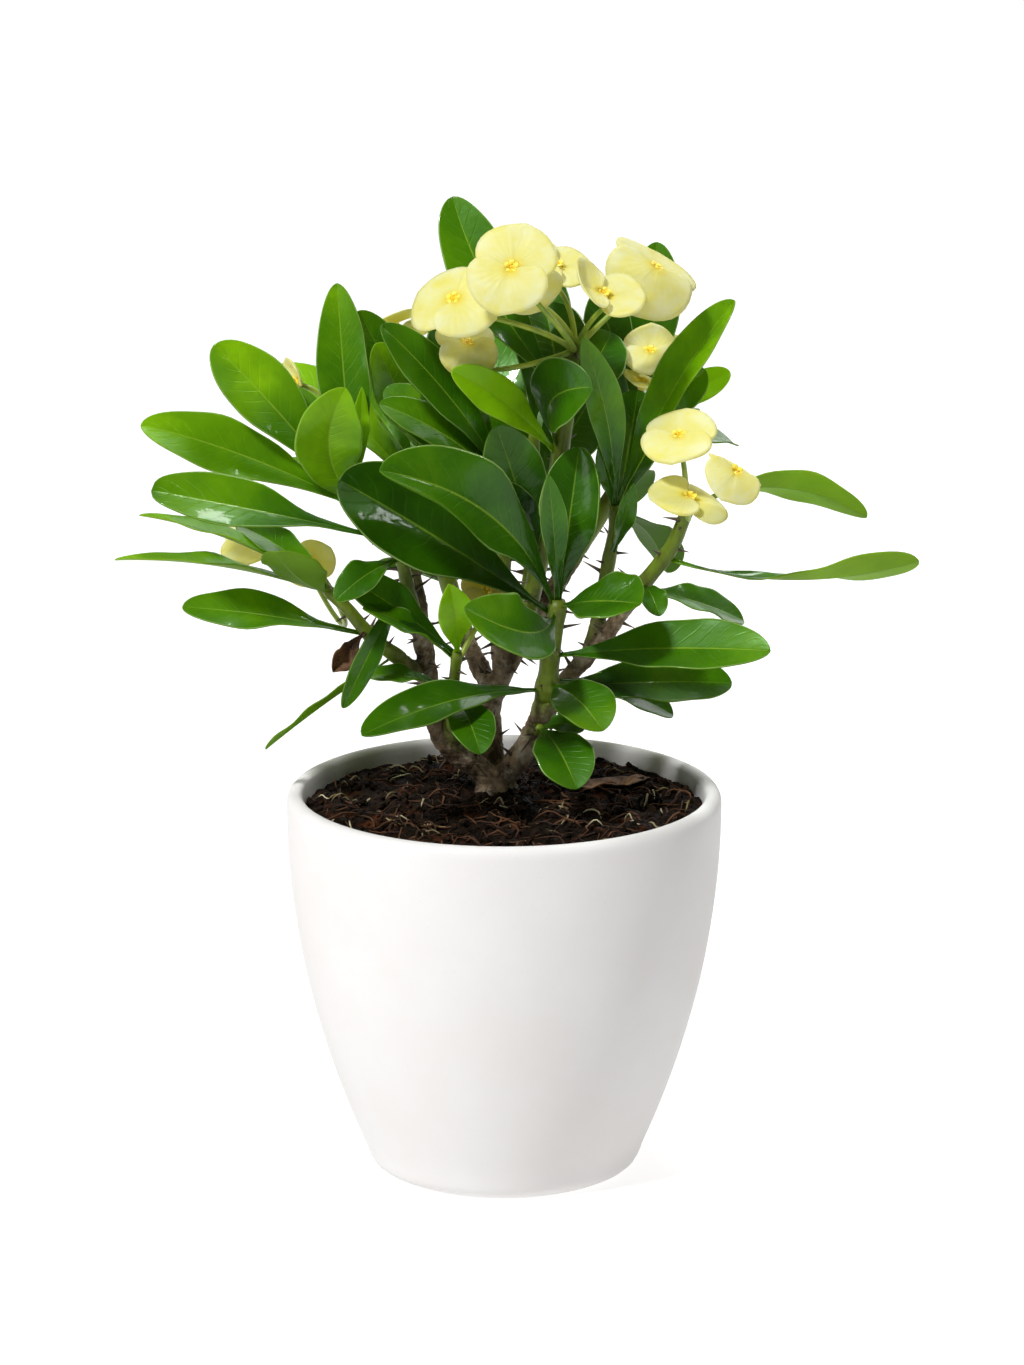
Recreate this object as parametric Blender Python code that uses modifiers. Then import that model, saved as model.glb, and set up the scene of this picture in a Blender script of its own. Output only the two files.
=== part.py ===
"""A crown of thorns plant in a round white pot.

The plant is a woody, forked trunk that stands in a hole in the soil. Each fork ends in a green shoot
with leaves, thorns and flower stalks, and each stalk carries one bloom: two kidney-shaped bracts with
a small cup between them. Lengths are millimetres until a mesh is made. The origin is the middle of
the pot's flat foot, +Z is up and the front of the plant looks along -Y.
"""
import math
import random
from dataclasses import dataclass

import bmesh
import bpy
import numpy as np
from mathutils import Matrix, Vector

MM = 0.001
GAP = 0.3                  # clearance kept between pieces that touch
WELD = 0.00001             # metres within which two vertices are one
COLLECTION = "crown_of_thorns_plant"
CUTTERS = "cutters"

# Pot
POT_RADIUS = 85.0          # widest, just under the lip
POT_SHOULDER = 147.0       # height of the widest ring
POT_TAPER = 33.9           # how far the side has come in at the foot
POT_WALL = 6.6
POT_FLOOR = 8.0
POT_FOOT_RADIUS = 47.0     # flat underside
POT_FOOT_CURVE = 9.0       # height at which the side turns in to the foot
POT_FOOT_EDGE = ((1.6, 4.6), (4.2, 1.4))    # how far in and how high the foot's curve passes
POT_FLOOR_EDGE = ((8.0, 0.0), (1.0, 5.0))   # the same for the floor's, from the wall and the floor
POT_LIP = ((85.0, 147.0), (84.3, 149.9), (82.6, 151.7), (80.6, 151.9), (78.7, 150.0))
POT_STEPS = 32
POT_ROWS = 5

# Soil
SOIL_EDGE = 145.4          # height at the wall
SOIL_RINGS = (77.6, 68.0, 54.0, 38.0, 20.0)
SOIL_MOUND = 3.0
SOIL_MOUND_REACH = 24.0
SOIL_LUMP = 0.9
SOIL_LIFT = 0.9            # how far the middle stands above the edge
SOIL_FADE = 12.0           # width of the rim over which the lumps die away

# Trunk
CROWN = (-3.0, 15.0)       # middle of the trunk where it leaves the soil
CROWN_RADIUS = 9.8
CROWN_DEPTH = 122.0        # height of the trunk's lower end, inside the soil
CROWN_TOP = 152.0
CROWN_SIDES = 12
HOLE_LENGTH = 40.0
BARE_BARK = 4.0            # height above the crown up to which no thorn grows

# Stems, leaves and blooms
PATH_STEPS = 2             # samples to each span of a stem
THICK_STEM = 4.4           # a thicker stem than this has eight sides, a thinner one six
STALK_RADIUS = 1.1
STALK_STEPS = 4
STALK_END = 2.5            # length of the straight end below the cup
STALK_LEAD = 5.0           # distance over which a stalk turns towards its bloom
THIN_STEM = 1.5            # a thinner bar than this has four sides
FOOT_OFFSET = 0.5          # a leaf's foot, out from the stem's middle, in radii
LAST_FOOT = 0.96           # highest place of a leaf's foot on the stem
BLADE = 0.75               # thickness of a leaf or a bract
PETIOLE = 2.6
LEAF_END = 0.05            # half the width of a blade's end, as a share of its widest
RIPPLES = 9.5              # waves along a blade's edge, in radians
RIPPLE_SHIFT = 2.2         # shift between the waves of the two edges
TWIST_PIVOT = 0.3
CURL_FROM = 0.45           # share of a blade's length where a rolled edge starts
CURL_FULL = 0.8            # and where it is rolled up most
CURL_PULL = 0.35           # how far a rolled edge moves in, against its rise
LEAF_ROWS = ((42.0, 3), (76.0, 4), (200.0, 5))    # rows of a blade up to each length
THORN_EVERY = 11.0
THORN_LENGTH = (6.0, 10.0)
THORN_RADIUS = 0.95
THORN_TIP = 0.12
THORN_SIDES = 3
THORN_LEAN = (-0.05, 0.35)
THORN_SPREAD = (0.7, 1.25)    # spacing between two thorns, in units of the usual one
THORN_CLEAR = 5.0          # no thorn comes this near a blade
GOLDEN_ANGLE = math.radians(137.5)
BRACT_SWEEP = math.radians(112.0)
BRACT_LOBE = math.radians(85.0)    # a bract's outline is cos(lobe angle) to the power below
BRACT_POWER = 0.22
BRACT_WIDE = 1.12
BRACT_OFFSET = 1.2         # from the bloom's middle to a bract's own
BRACT_LEVEL = 1.0          # height of one bract above, and of the other below, the middle
BRACT_RISE = 1.2
BRACT_DROOP = 1.6
BRACT_ROWS = 2
BRACT_COLUMNS = 5
CUP_RADIUS = 2.3
CUP_HEIGHT = 4.4
CUP_DROP = 0.3             # the cup's middle below the bloom's
CUP_TAPER = 0.7
CUP_SIDES = 6


@dataclass(frozen=True)
class Leaf:
    """A blade, from its place on the green stem to its tip."""
    at: float                      # 0 at the foot of the green stem, 1 at its top
    tip: tuple
    width: float
    face: tuple = (0.0, 0.0, 1.0)  # where the upper side looks
    arch: float = 5.0              # bow of the blade towards its upper side
    sway: float = 0.0              # bow towards its right edge
    fold: float = 13.0             # rise of each half from the midrib, in degrees
    twist: float = 0.0             # turn from foot to tip, in degrees
    wave: float = 0.7
    belly: float = 0.64            # place of the widest row
    round: float = 0.6             # below 1 the tip is rounder
    curl: float = 0.0              # how far an edge rolls up towards the tip; below 0 the left one


@dataclass(frozen=True)
class Bloom:
    """A pair of bracts at the end of a stalk."""
    at: tuple
    face: tuple
    spin: float = 0.0
    size: float = 15.5             # length of one bract
    cups: tuple = (0, 0)           # rise of each bract's rim in degrees; below 0 it hangs
    stalk: tuple = ()              # points of the stalk between the stem's top and the bloom


@dataclass(frozen=True)
class Shoot:
    """A limb of the trunk with the green stem, leaves and blooms on its end."""
    name: str
    limb: tuple                    # points of the limb, from the trunk to the top
    green_from: int                # the limb's point where the green stem starts
    radius: tuple                  # at the limb's start and at its top
    leaves: tuple
    blooms: tuple = ()


SHOOTS = (
    Shoot("shoot_front", ((-2, 14, 146), (0, 14, 153), (10, 11, 168), (16, 4, 187), (18, 0, 206),
                          (20, -3, 220), (21, -4, 229)), 3, (5.6, 2.9), (
        Leaf(0.92, (-47, -40, 288), 34, (0.6, -0.75, 0.3), 8, 10, wave=1.4, curl=-0.7),
        Leaf(0.85, (-63, -20, 280), 38, (0.4, -0.8, 0.45), 3, belly=0.68, round=0.5),
        Leaf(0.88, (-15, -46, 236), 29, (0.1, -0.8, 0.6), 4, -12),
        Leaf(1.00, (17, -14, 281), 11, (0.3, -1.0, 0.0), 2, round=0.9),
        Leaf(1.00, (29, 6, 287), 25, (0.0, -1.0, 0.2), 4, wave=2.0, curl=0.5),
        Leaf(0.95, (52, -36, 235), 29, (0.0, -0.6, 0.8), 2),
        Leaf(0.45, (102, -30, 215), 27, (0.0, -0.6, 0.8), 3),
        Leaf(0.12, (89, 10, 192), 26, (0.0, -0.6, 0.85), 2),
        Leaf(0.20, (66, 6, 180), 20, (0.2, -0.4, 1.0), 4),
        Leaf(0.16, (38, -32, 184), 25, (0.1, -0.6, 0.8), 5),
        Leaf(0.10, (-54, -50, 187), 23, (0.0, -0.45, 1.0), 6),
    )),
    Shoot("shoot_centre", ((-3, 17, 147), (-5, 26, 164), (-5, 32, 179), (3, 30, 198), (9, 28, 216),
                           (14, 26, 238), (22, 18, 283), (26, 10, 318), (28, 7, 328)), 4, (5.0, 2.4), (
        Leaf(0.80, (-20, 40, 379), 26, (0.3, -1.0, 0.0), 3, -6, wave=1.2),
        Leaf(0.58, (-20, -14, 321), 17, (0.3, -0.9, 0.4), 1, 3),
        Leaf(0.60, (34, -20, 316), 29, (-0.2, -0.8, 0.5), 8, -9),
        Leaf(0.74, (16, 40, 337), 28, (0.0, -1.0, 0.2), 3),
        Leaf(0.70, (42, 36, 326), 24, (-0.1, -1.0, 0.3), 3),
        Leaf(0.28, (-2, 6, 273), 12, (0.2, -1.0, 0.3), 3),
        Leaf(0.18, (-3, 4, 296), 26, (0.1, -0.9, 0.4), 4),
    ), (
        Bloom((-19, -5, 347), (-0.25, -0.65, 0.7), -50, 18, (-14, -8), ((14, -2, 338),)),
        Bloom((-14, 3, 328), (0.1, -0.3, 0.95), -15, 13, (25, -65), ((8, 6, 318), (-8, 5, 315))),
        Bloom((3, -20, 362), (-0.1, -0.75, 0.65), 20, 18, (6, -12), ((24, -20, 338),)),
        Bloom((8, 1, 352), (-0.1, -0.65, 0.65), -25, 14.5, (-8, 6), ((26, 6, 338),)),
        Bloom((20, 25, 355), (0.2, -0.4, 0.8), 80, 14, (10, 4), ((28, 12, 345),)),
        Bloom((38, -10, 350), (0.05, -0.45, 0.88), 84, 15, (5, 48), ((34, 2, 342),)),
        Bloom((58, 12, 356), (0.5, -0.15, 0.85), 10, 20, (5, -72), ((44, 16, 342),)),
    )),
    Shoot("shoot_right", ((14, 9, 176), (24, 13, 192), (38, 14, 208), (50, 12, 226), (64, 6, 246),
                          (69, 3, 258), (72, 2, 267)), 3, (3.9, 2.4), (
        Leaf(0.45, (160, -6, 245), 24, (0.0, -0.1, 1.0), -8, twist=85, belly=0.74),
        Leaf(0.92, (142, 30, 254), 20, (0.2, 0.8, 0.7), 12),
        Leaf(0.10, (94, 26, 213), 20, (0.0, -0.45, 1.0), 2),
        Leaf(0.14, (60, -10, 224), 11, (0.0, -0.5, 1.0), 3),
    ), (
        Bloom((67, -11, 295), (-0.1, -0.45, 0.9), 12, 15.5, (4, -4), ((70, 4, 284),)),
        Bloom((71, -21, 273), (0.1, -0.35, 0.93), 75, 15, (-20, 0), ((72, -8, 260),)),
        Bloom((88, -29, 285), (0.45, -0.5, 0.75), 10, 13, (-30, -25), ((98, 0, 278),)),
    )),
    Shoot("shoot_middle_right", ((33, 15, 202), (37, 19, 216), (41, 22, 239), (43, 19, 252),
                                 (43, 16, 262)), 1, (3.4, 2.0), (
        Leaf(0.95, (89, 20, 342), 21, (-0.6, -0.7, 0.3), 2, -3, fold=26),
        Leaf(0.88, (52, 28, 305), 26, (0.1, -1.0, 0.2), 3),
        Leaf(1.00, (37, 8, 288), 7, (0.0, -1.0, 0.0), 1, round=0.9),
        Leaf(0.50, (50, 6, 273), 8, (0.3, -1.0, 0.0), 2, round=0.9),
        Leaf(0.92, (30, -2, 332), 15, (0.3, -1.0, 0.0), 3, 3, round=0.8),
    )),
    Shoot("shoot_back_right", ((2, 31, 196), (14, 45, 212), (30, 56, 236), (46, 60, 262), (54, 58, 280),
                               (58, 55, 293)), 2, (4.2, 2.4), (
        Leaf(0.90, (89, 60, 306), 13, (-0.2, -0.9, 0.4), 3),
        Leaf(0.96, (79, 42, 310), 18, (0.2, -0.9, 0.4), 3),
        Leaf(0.98, (60, 64, 357), 21, (0.0, -1.0, 0.2), 4),
        Leaf(0.80, (36, 58, 338), 24, (0.2, -0.9, 0.3), 4),
        Leaf(0.60, (92, 92, 270), 24, (0.1, -0.3, 1.0), 7),
        Leaf(0.75, (70, 116, 280), 25, (0.1, -0.6, 0.8), 6),
        Leaf(0.45, (50, 112, 240), 24, (0.0, -0.2, 1.0), 8),
        Leaf(0.25, (66, 96, 216), 25, (0.1, 0.0, 1.0), 7),
        Leaf(0.15, (24, 50, 276), 20, (0.1, -1.0, 0.2), 2),
    ), (
        Bloom((57, 38, 318), (0.05, -0.35, 0.93), 0, 12, (35, -12), ((76, 53, 304),)),
        Bloom((54, 36, 306), (0.2, -0.25, 0.93), 60, 9, (0, 20), ((54, 50, 300),)),
        Bloom((66, 92, 306), (0.3, 0.6, 0.8), 40, 15, (-10, 8), ((60, 62, 300),)),
    )),
    Shoot("shoot_middle", ((-1, 31, 190), (-2, 28, 212), (0, 22, 240), (2, 15, 262), (3, 12, 273)), 1,
          (3.8, 2.3), (
        Leaf(0.96, (-47, 0, 336), 21, (0.4, -0.8, 0.5), 3, 2),
        Leaf(1.00, (-10, 8, 286), 9, (0.2, -1.0, 0.2), 1),
        Leaf(0.90, (-30, 18, 309), 25, (0.2, -0.9, 0.4), 3),
        Leaf(0.86, (-46, 22, 307), 22, (0.2, -0.8, 0.5), 5),
        Leaf(0.92, (-48, 2, 305), 20, (0.2, -0.6, 0.8), 6),
    )),
    Shoot("shoot_back_left", ((-6, 33, 185), (-16, 46, 204), (-26, 54, 236), (-32, 54, 262),
                              (-33, 52, 280)), 1, (4.0, 2.4), (
        Leaf(0.98, (-57, 40, 334), 20, (0.3, -0.8, 0.5), 4),
        Leaf(0.92, (-50, 30, 323), 22, (0.3, -0.9, 0.4), 3),
        Leaf(0.90, (-12, 60, 345), 23, (0.1, -1.0, 0.2), 3),
        Leaf(0.70, (-90, 70, 306), 24, (0.1, -0.5, 0.9), 6),
        Leaf(0.80, (-66, 96, 298), 25, (0.1, -0.7, 0.7), 5),
        Leaf(0.50, (-100, 86, 262), 25, (-0.1, 0.0, 1.0), 8),
        Leaf(0.55, (-32, 118, 286), 24, (0.0, -0.4, 0.9), 7),
        Leaf(0.35, (-58, 104, 234), 24, (0.0, 0.1, 1.0), 8),
        Leaf(0.25, (-66, 84, 212), 22, (-0.1, 0.0, 1.0), 7),
        Leaf(0.55, (8, 50, 292), 24, (0.0, -0.9, 0.4), 4),
    ), (
        Bloom((-44, 82, 319), (-0.2, 0.6, 0.8), 20, 15, (6, -12), ((-36, 62, 300),)),
        Bloom((-20, 78, 300), (0.5, 0.6, 0.6), 70, 14, (12, -4), ((-30, 58, 290),)),
    )),
    Shoot("shoot_back", ((5, 29, 205), (10, 46, 222), (12, 62, 242), (12, 70, 264), (11, 72, 281)), 1,
          (3.8, 2.3), (
        Leaf(0.98, (16, 84, 345), 24, (0.1, -1.0, 0.2), 3),
        Leaf(0.85, (44, 102, 320), 24, (0.2, -0.7, 0.6), 5),
        Leaf(0.80, (-14, 114, 318), 24, (-0.1, -0.6, 0.8), 6),
        Leaf(0.60, (20, 130, 282), 25, (0.0, -0.3, 1.0), 8),
        Leaf(0.35, (6, 122, 232), 25, (0.0, 0.0, 1.0), 8),
        Leaf(0.62, (37, 63, 299), 26, (-0.1, -1.0, 0.2), 3),
    )),
    Shoot("shoot_left", ((-4, 15, 148), (-10, 13, 157), (-20, 8, 165), (-26, 4, 176), (-29, 4, 191),
                         (-31, 6, 208), (-36, 10, 238), (-42, 12, 249), (-52, 14, 258),
                         (-60, 16, 264)), 6, (5.2, 2.4), (
        Leaf(1.00, (-65, 40, 345), 21, (0.0, -1.0, 0.0), 3, belly=0.56, round=0.62),
        Leaf(0.95, (-112, 18, 325), 27, (0.4, -0.9, 0.3), 4, belly=0.7),
        Leaf(0.85, (-140, 6, 296), 24, (0.2, -0.75, 0.6), 3, 2, wave=1.4),
        Leaf(0.90, (-61, 8, 310), 27, (0.1, -1.0, 0.0), 2, -9, belly=0.58, round=0.7),
        Leaf(0.97, (-55, 20, 308), 7, (0.3, -1.0, 0.0), 1, round=0.9),
        Leaf(0.92, (-82, 28, 306), 15, (0.2, -0.9, 0.3), 3),
    ), (
        Bloom((-82, 46, 304), (-0.85, -0.2, 0.3), 60, 11, (45, 40), ((-62, 34, 276), (-66, 46, 300))),
    )),
    Shoot("shoot_left_front", ((-30, 5, 200), (-34, -2, 220), (-38, -10, 240), (-41, -16, 257)), 1,
          (3.2, 2.2), (
        Leaf(0.96, (-134, -30, 278), 25, (0.1, -0.6, 0.8), 2, -1, wave=1.6, belly=0.72, round=0.45),
        Leaf(0.50, (-62, -28, 192), 10, (0.3, -0.6, 0.7), 2, twist=40),
        Leaf(0.75, (-64, -34, 236), 14, (0.2, -0.5, 0.8), 4, wave=1.6),
    )),
    Shoot("shoot_low_left", ((-29, 4, 194), (-40, -3, 205), (-51, -8, 215), (-61, -8, 227),
                             (-69, -6, 234)), 1, (3.3, 2.2), (
        Leaf(0.98, (-151, 8, 242), 19, (0.0, 0.1, 1.0), 4),
        Leaf(0.95, (-142, 20, 257), 18, (0.0, 0.1, 1.0), 5),
        Leaf(1.00, (-87, -38, 256), 26, (0.0, 0.3, 1.0), -3),
        Leaf(0.42, (-124, -12, 228), 20, (0.1, -0.4, 1.0), 2, twist=25, wave=1.6),
        Leaf(0.85, (-104, 24, 252), 17, (0.0, -0.2, 1.0), 4),
        Leaf(0.08, (-93, 0, 168), 13, (-0.2, 0.25, 1.0), 1),
    ), (
        Bloom((-100, 43, 242), (-0.3, -0.6, 0.7), 10, 13, (-6, 5), ((-80, 16, 250), (-84, 46, 244))),
        Bloom((-77, 36, 234), (0.0, -0.8, 0.5), 50, 10, (-6, 5), ((-56, 10, 206), (-66, 44, 204))),
    )),
    Shoot("shoot_low_middle", ((-20, 8, 166), (-20, 1, 176), (-20, -7, 190), (-18, -18, 212)), 1,
          (3.0, 2.0), (
        Leaf(1.00, (-21, -32, 242), 15, (0.3, -0.9, 0.2), 3, round=0.9),
        Leaf(0.35, (-9, -44, 178), 19, (0.1, -0.6, 0.8), 6),
        Leaf(0.55, (-55, -13, 201), 12, (0.0, -0.3, 1.0), 2),
        Leaf(0.96, (-62, -22, 243), 18, (0.1, -0.7, 0.7), 3),
        Leaf(0.90, (-54, -30, 232), 12, (0.0, -0.4, 0.9), 3, wave=1.4),
    ), (
        Bloom((-6, -3, 232), (-0.1, -0.45, 0.85), 0, 12, (30, -30), ((-15, -8, 216),)),
    )),
    Shoot("sprout", ((12, 8, 172), (13, 0, 175), (14, -4, 178)), 1, (1.6, 1.4), (
        Leaf(0.95, (28, -40, 163), 24, (0.1, -0.7, 0.7), 5),
        Leaf(0.80, (31, -12, 179), 13, (0.0, -0.5, 0.9), 3),
    )),
)


# Dry leaves: one hangs on a low stem, one lies on the soil
DRIED_LEAF_FOOT = (-54.0, -11.7, 218.0)
DRIED_LEAF = Leaf(0.0, (-66, -15, 203), 13, (0.4, -0.9, 0.3), -3, fold=42, wave=1.6)
FALLEN_LEAF = ((27, 16), (58, 30))    # foot and tip on the soil
FALLEN_LEAF_WIDTH = 13.0
FALLEN_LEAF_LIFT = 1.3                # middle of the blade above the soil
FALLEN_LEAF_CURL = 1.6                # rise of its edges
FALLEN_LEAF_END = 0.12                # width of its ends, as a share of its widest


def unit(vector):
    """The vector at length 1."""
    vector = np.asarray(vector, float)
    return vector / np.linalg.norm(vector)


def smooth_path(points, steps):
    """Points along a smooth curve that passes through the given ones."""
    points = [np.array(point, float) for point in points]
    ends = [2 * points[0] - points[1]] + points + [2 * points[-1] - points[-2]]
    path = [points[0]]
    for before, start, end, after in zip(ends, ends[1:], ends[2:], ends[3:]):
        for step in range(1, steps + 1):
            t = step / steps
            path.append(0.5 * (2 * start + (end - before) * t
                               + (2 * before - 5 * start + 4 * end - after) * t ** 2
                               + (3 * start - before - 3 * end + after) * t ** 3))
    return np.array(path)


def curved_path(points, steps):
    """Points along one Bezier curve with the given control points."""
    path = []
    for step in range(steps + 1):
        level = [np.array(point, float) for point in points]
        while len(level) > 1:
            level = [a + (b - a) * step / steps for a, b in zip(level, level[1:])]
        path.append(level[0])
    return np.array(path)


def along_path(path, share):
    """The point at a share of the path's length."""
    lengths = np.concatenate([[0], np.cumsum(np.linalg.norm(np.diff(path, axis=0), axis=1))])
    return np.array([np.interp(share * lengths[-1], lengths, path[:, axis]) for axis in range(3)])


def green_path(shoot):
    """The green stem's part of a limb, clear of the woody part below it."""
    path = smooth_path(shoot.limb, PATH_STEPS)[shoot.green_from * PATH_STEPS:].copy()
    path[0] += unit(path[1] - path[0]) * 3 * GAP
    return path


def stalk_path(bloom, stem):
    """The flower stalk, from inside the stem's top to just below the bloom's cup."""
    end = np.array(bloom.at) - unit(bloom.face) * (CUP_HEIGHT / 2 + CUP_DROP + GAP)
    bend = end - unit(bloom.face) * STALK_END
    straight = bend - unit(bloom.face) * STALK_LEAD
    path = curved_path((stem[-2], *bloom.stalk, straight, bend), STALK_STEPS)
    return np.concatenate([path, [end]])


def blade_grid(leaf, foot, rows, columns):
    """Points of a blade's middle surface, row by row from its foot to its tip."""
    tip = np.array(leaf.tip, float)
    length = np.linalg.norm(tip - foot)
    ahead = (tip - foot) / length
    right = unit(np.cross(ahead, np.array(leaf.face, float)))
    up = np.cross(right, ahead)
    grid = np.zeros((rows + 1, columns + 1, 3))
    for row in range(rows + 1):
        t = row / rows
        bow, slope = 4 * t * (1 - t), 4 - 8 * t
        middle = foot + ahead * length * t + (up * leaf.arch + right * leaf.sway) * bow
        tangent = unit(ahead * length + (up * leaf.arch + right * leaf.sway) * slope)
        turn = math.radians(leaf.twist) * (t - TWIST_PIVOT)
        side = right * math.cos(turn) + up * math.sin(turn)
        side = unit(side - tangent * side.dot(tangent))
        top = np.cross(side, tangent)
        shape = math.sin(math.pi * t ** (math.log(0.5) / math.log(leaf.belly))) if t < 1 else 0.0
        power = leaf.round if t > leaf.belly else 1.0
        half = 0.5 * max(leaf.width * max(shape, 0.0) ** power, PETIOLE * (1 - t))
        half = max(half, LEAF_END * leaf.width)
        fold = math.radians(leaf.fold)
        roll = abs(leaf.curl) * min(1.0, max(0.0, (t - CURL_FROM) / (CURL_FULL - CURL_FROM)))
        for column in range(columns + 1):
            s = 2 * column / columns - 1
            ripple = leaf.wave * s * s * math.sin(math.pi * t)
            ripple *= math.sin(RIPPLES * t + RIPPLE_SHIFT * np.sign(s))
            curl = roll * max(0.0, s * math.copysign(1.0, leaf.curl)) ** 2
            lift = half * (abs(s) * math.sin(fold) + curl) + ripple
            out = half * s * (math.cos(fold) - CURL_PULL * curl)
            grid[row, column] = middle + side * out + top * lift
    return grid


def leaf_foot(leaf, stem, radius):
    """The blade's foot: inside the stem, on the side that the leaf grows from."""
    spot = along_path(stem, min(leaf.at, LAST_FOOT))
    ahead, tangent = unit(np.array(leaf.tip) - spot), unit(stem[-1] - stem[-2])
    return spot + (ahead - tangent * ahead.dot(tangent)) * radius * FOOT_OFFSET


def leaf_rows(leaf, foot):
    """The number of rows for a blade of this length."""
    length = np.linalg.norm(np.array(leaf.tip) - foot)
    return next(rows for limit, rows in LEAF_ROWS if length < limit)


def bract_grid(bloom, half_turn, rows, columns):
    """Points of one bract's middle surface, from its claw in the cup to its rim."""
    normal = unit(bloom.face)
    across = unit(np.cross((0.0, 1.0, 0.3), normal))
    angle = math.radians(bloom.spin) + half_turn * math.pi
    out = np.cross(normal, across) * math.cos(angle) + across * math.sin(angle)
    wide = np.cross(out, normal)
    level = BRACT_LEVEL if half_turn else -BRACT_LEVEL
    grid = np.zeros((rows + 1, columns + 1, 3))
    for column in range(columns + 1):
        sweep = BRACT_SWEEP * (2 * column / columns - 1)
        reach = bloom.size * math.cos(sweep * BRACT_LOBE / BRACT_SWEEP) ** BRACT_POWER
        for row in range(rows + 1):
            distance = 1.0 + (reach - 1.0) * (row / rows) ** 0.9
            share = distance / bloom.size
            x = BRACT_WIDE * distance * math.sin(sweep)
            y = BRACT_OFFSET + distance * math.cos(sweep)
            lean = math.radians(bloom.cups[half_turn]) * share
            z = level + max(y, 0.0) * math.sin(lean) + BRACT_RISE * share - BRACT_DROOP * share ** 3
            y = min(y, y * math.cos(lean))
            grid[row, column] = np.array(bloom.at) + wide * x + out * y + normal * z
    return grid


def soil_height(x, y):
    """Height of the soil's uneven top."""
    away = math.hypot(x - CROWN[0], y - CROWN[1])
    fade = min(1.0, max(0.0, (SOIL_RINGS[0] - math.hypot(x, y)) / SOIL_FADE))
    lumps = SOIL_LUMP * (math.sin(x / 6.1 + 1.0) * math.cos(y / 7.3) + 0.6 * math.sin(x / 3.7 + y / 4.9))
    mound = SOIL_MOUND * math.exp(-(away / SOIL_MOUND_REACH) ** 2)
    return SOIL_EDGE + fade * (SOIL_LIFT + mound + lumps * min(1.0, away / 20))


def material(name, colour, roughness):
    """A Principled material with one colour."""
    made = bpy.data.materials.new(name)
    made.use_nodes = True
    shader = made.node_tree.nodes["Principled BSDF"]
    shader.inputs["Base Color"].default_value = (*colour, 1.0)
    shader.inputs["Roughness"].default_value = roughness
    shader.inputs["Metallic"].default_value = 0.0
    return made


def new_object(name, mesh, collection):
    """An object for the mesh, linked to the collection."""
    made = bpy.data.objects.new(name, mesh)
    collection.objects.link(made)
    return made


def bake(source, name, collection):
    """A plain mesh object of what the source looks like; the source is removed."""
    bpy.context.view_layer.update()
    evaluated = source.evaluated_get(bpy.context.evaluated_depsgraph_get())
    mesh = bpy.data.meshes.new_from_object(evaluated)
    made = new_object(name, mesh, collection)
    made.matrix_world = source.matrix_world
    bpy.data.objects.remove(source)
    shape = bmesh.new()
    shape.from_mesh(mesh)
    bmesh.ops.remove_doubles(shape, verts=shape.verts, dist=WELD)
    bmesh.ops.recalc_face_normals(shape, faces=shape.faces)
    shape.to_mesh(mesh)
    shape.free()
    return made


def tube(name, path, radii, collection):
    """A round bar along the path, with a radius at each point; a thicker one has more sides."""
    sides = 0 if max(radii) < THIN_STEM else 1 if max(radii) < THICK_STEM else 2
    curve = bpy.data.curves.new(name, "CURVE")
    curve.dimensions = "3D"
    curve.bevel_depth = MM
    curve.bevel_resolution = sides
    curve.use_fill_caps = True
    spline = curve.splines.new("POLY")
    spline.points.add(len(path) - 1)
    for point, place, radius in zip(spline.points, path, radii):
        point.co = (*(place * MM), 1.0)
        point.radius = radius
    return bake(new_object(name, curve, collection), name, collection)


def sheet(name, grid, collection):
    """A blade of even thickness over a grid of points."""
    rows, columns = grid.shape[0] - 1, grid.shape[1] - 1
    shape = bmesh.new()
    bmesh.ops.create_grid(shape, x_segments=columns, y_segments=rows, size=1.0)
    for vertex in shape.verts:
        row = round((vertex.co.y + 1) / 2 * rows)
        column = round((vertex.co.x + 1) / 2 * columns)
        vertex.co = Vector(grid[row, column] * MM)
    bmesh.ops.triangulate(shape, faces=shape.faces)
    mesh = bpy.data.meshes.new(name)
    shape.to_mesh(mesh)
    shape.free()
    made = new_object(name, mesh, collection)
    wall = made.modifiers.new("thickness", "SOLIDIFY")
    wall.thickness = BLADE * MM
    wall.offset = 0.0
    return bake(made, name, collection)


def cone(name, foot, direction, radii, length, sides, collection):
    """A cone that stands on its foot point and looks along the direction."""
    shape = bmesh.new()
    bmesh.ops.create_cone(shape, cap_ends=True, segments=sides, radius1=radii[0] * MM,
                          radius2=radii[1] * MM, depth=length * MM)
    turn = Vector(direction).to_track_quat("Z", "Y").to_matrix().to_4x4()
    middle = Vector((np.array(foot) + unit(direction) * length / 2) * MM)
    bmesh.ops.transform(shape, matrix=Matrix.Translation(middle) @ turn, verts=shape.verts)
    mesh = bpy.data.meshes.new(name)
    shape.to_mesh(mesh)
    shape.free()
    return new_object(name, mesh, collection)


def keep_largest(mesh):
    """Fills the hollows that a union seals, and drops its loose scraps."""
    shape = bmesh.new()
    shape.from_mesh(mesh)
    bmesh.ops.dissolve_degenerate(shape, dist=WELD / 10, edges=shape.edges)
    left, islands = set(shape.verts), []
    while left:
        island, edge = set(), [left.pop()]
        while edge:
            vertex = edge.pop()
            island.add(vertex)
            near = {link.other_vert(vertex) for link in vertex.link_edges} & left
            left -= near
            edge.extend(near)
        islands.append(island)
    largest = max(islands, key=len)
    loose = [vertex for island in islands if island is not largest for vertex in island]
    bmesh.ops.delete(shape, geom=loose, context="VERTS")
    shape.to_mesh(mesh)
    shape.free()


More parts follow.
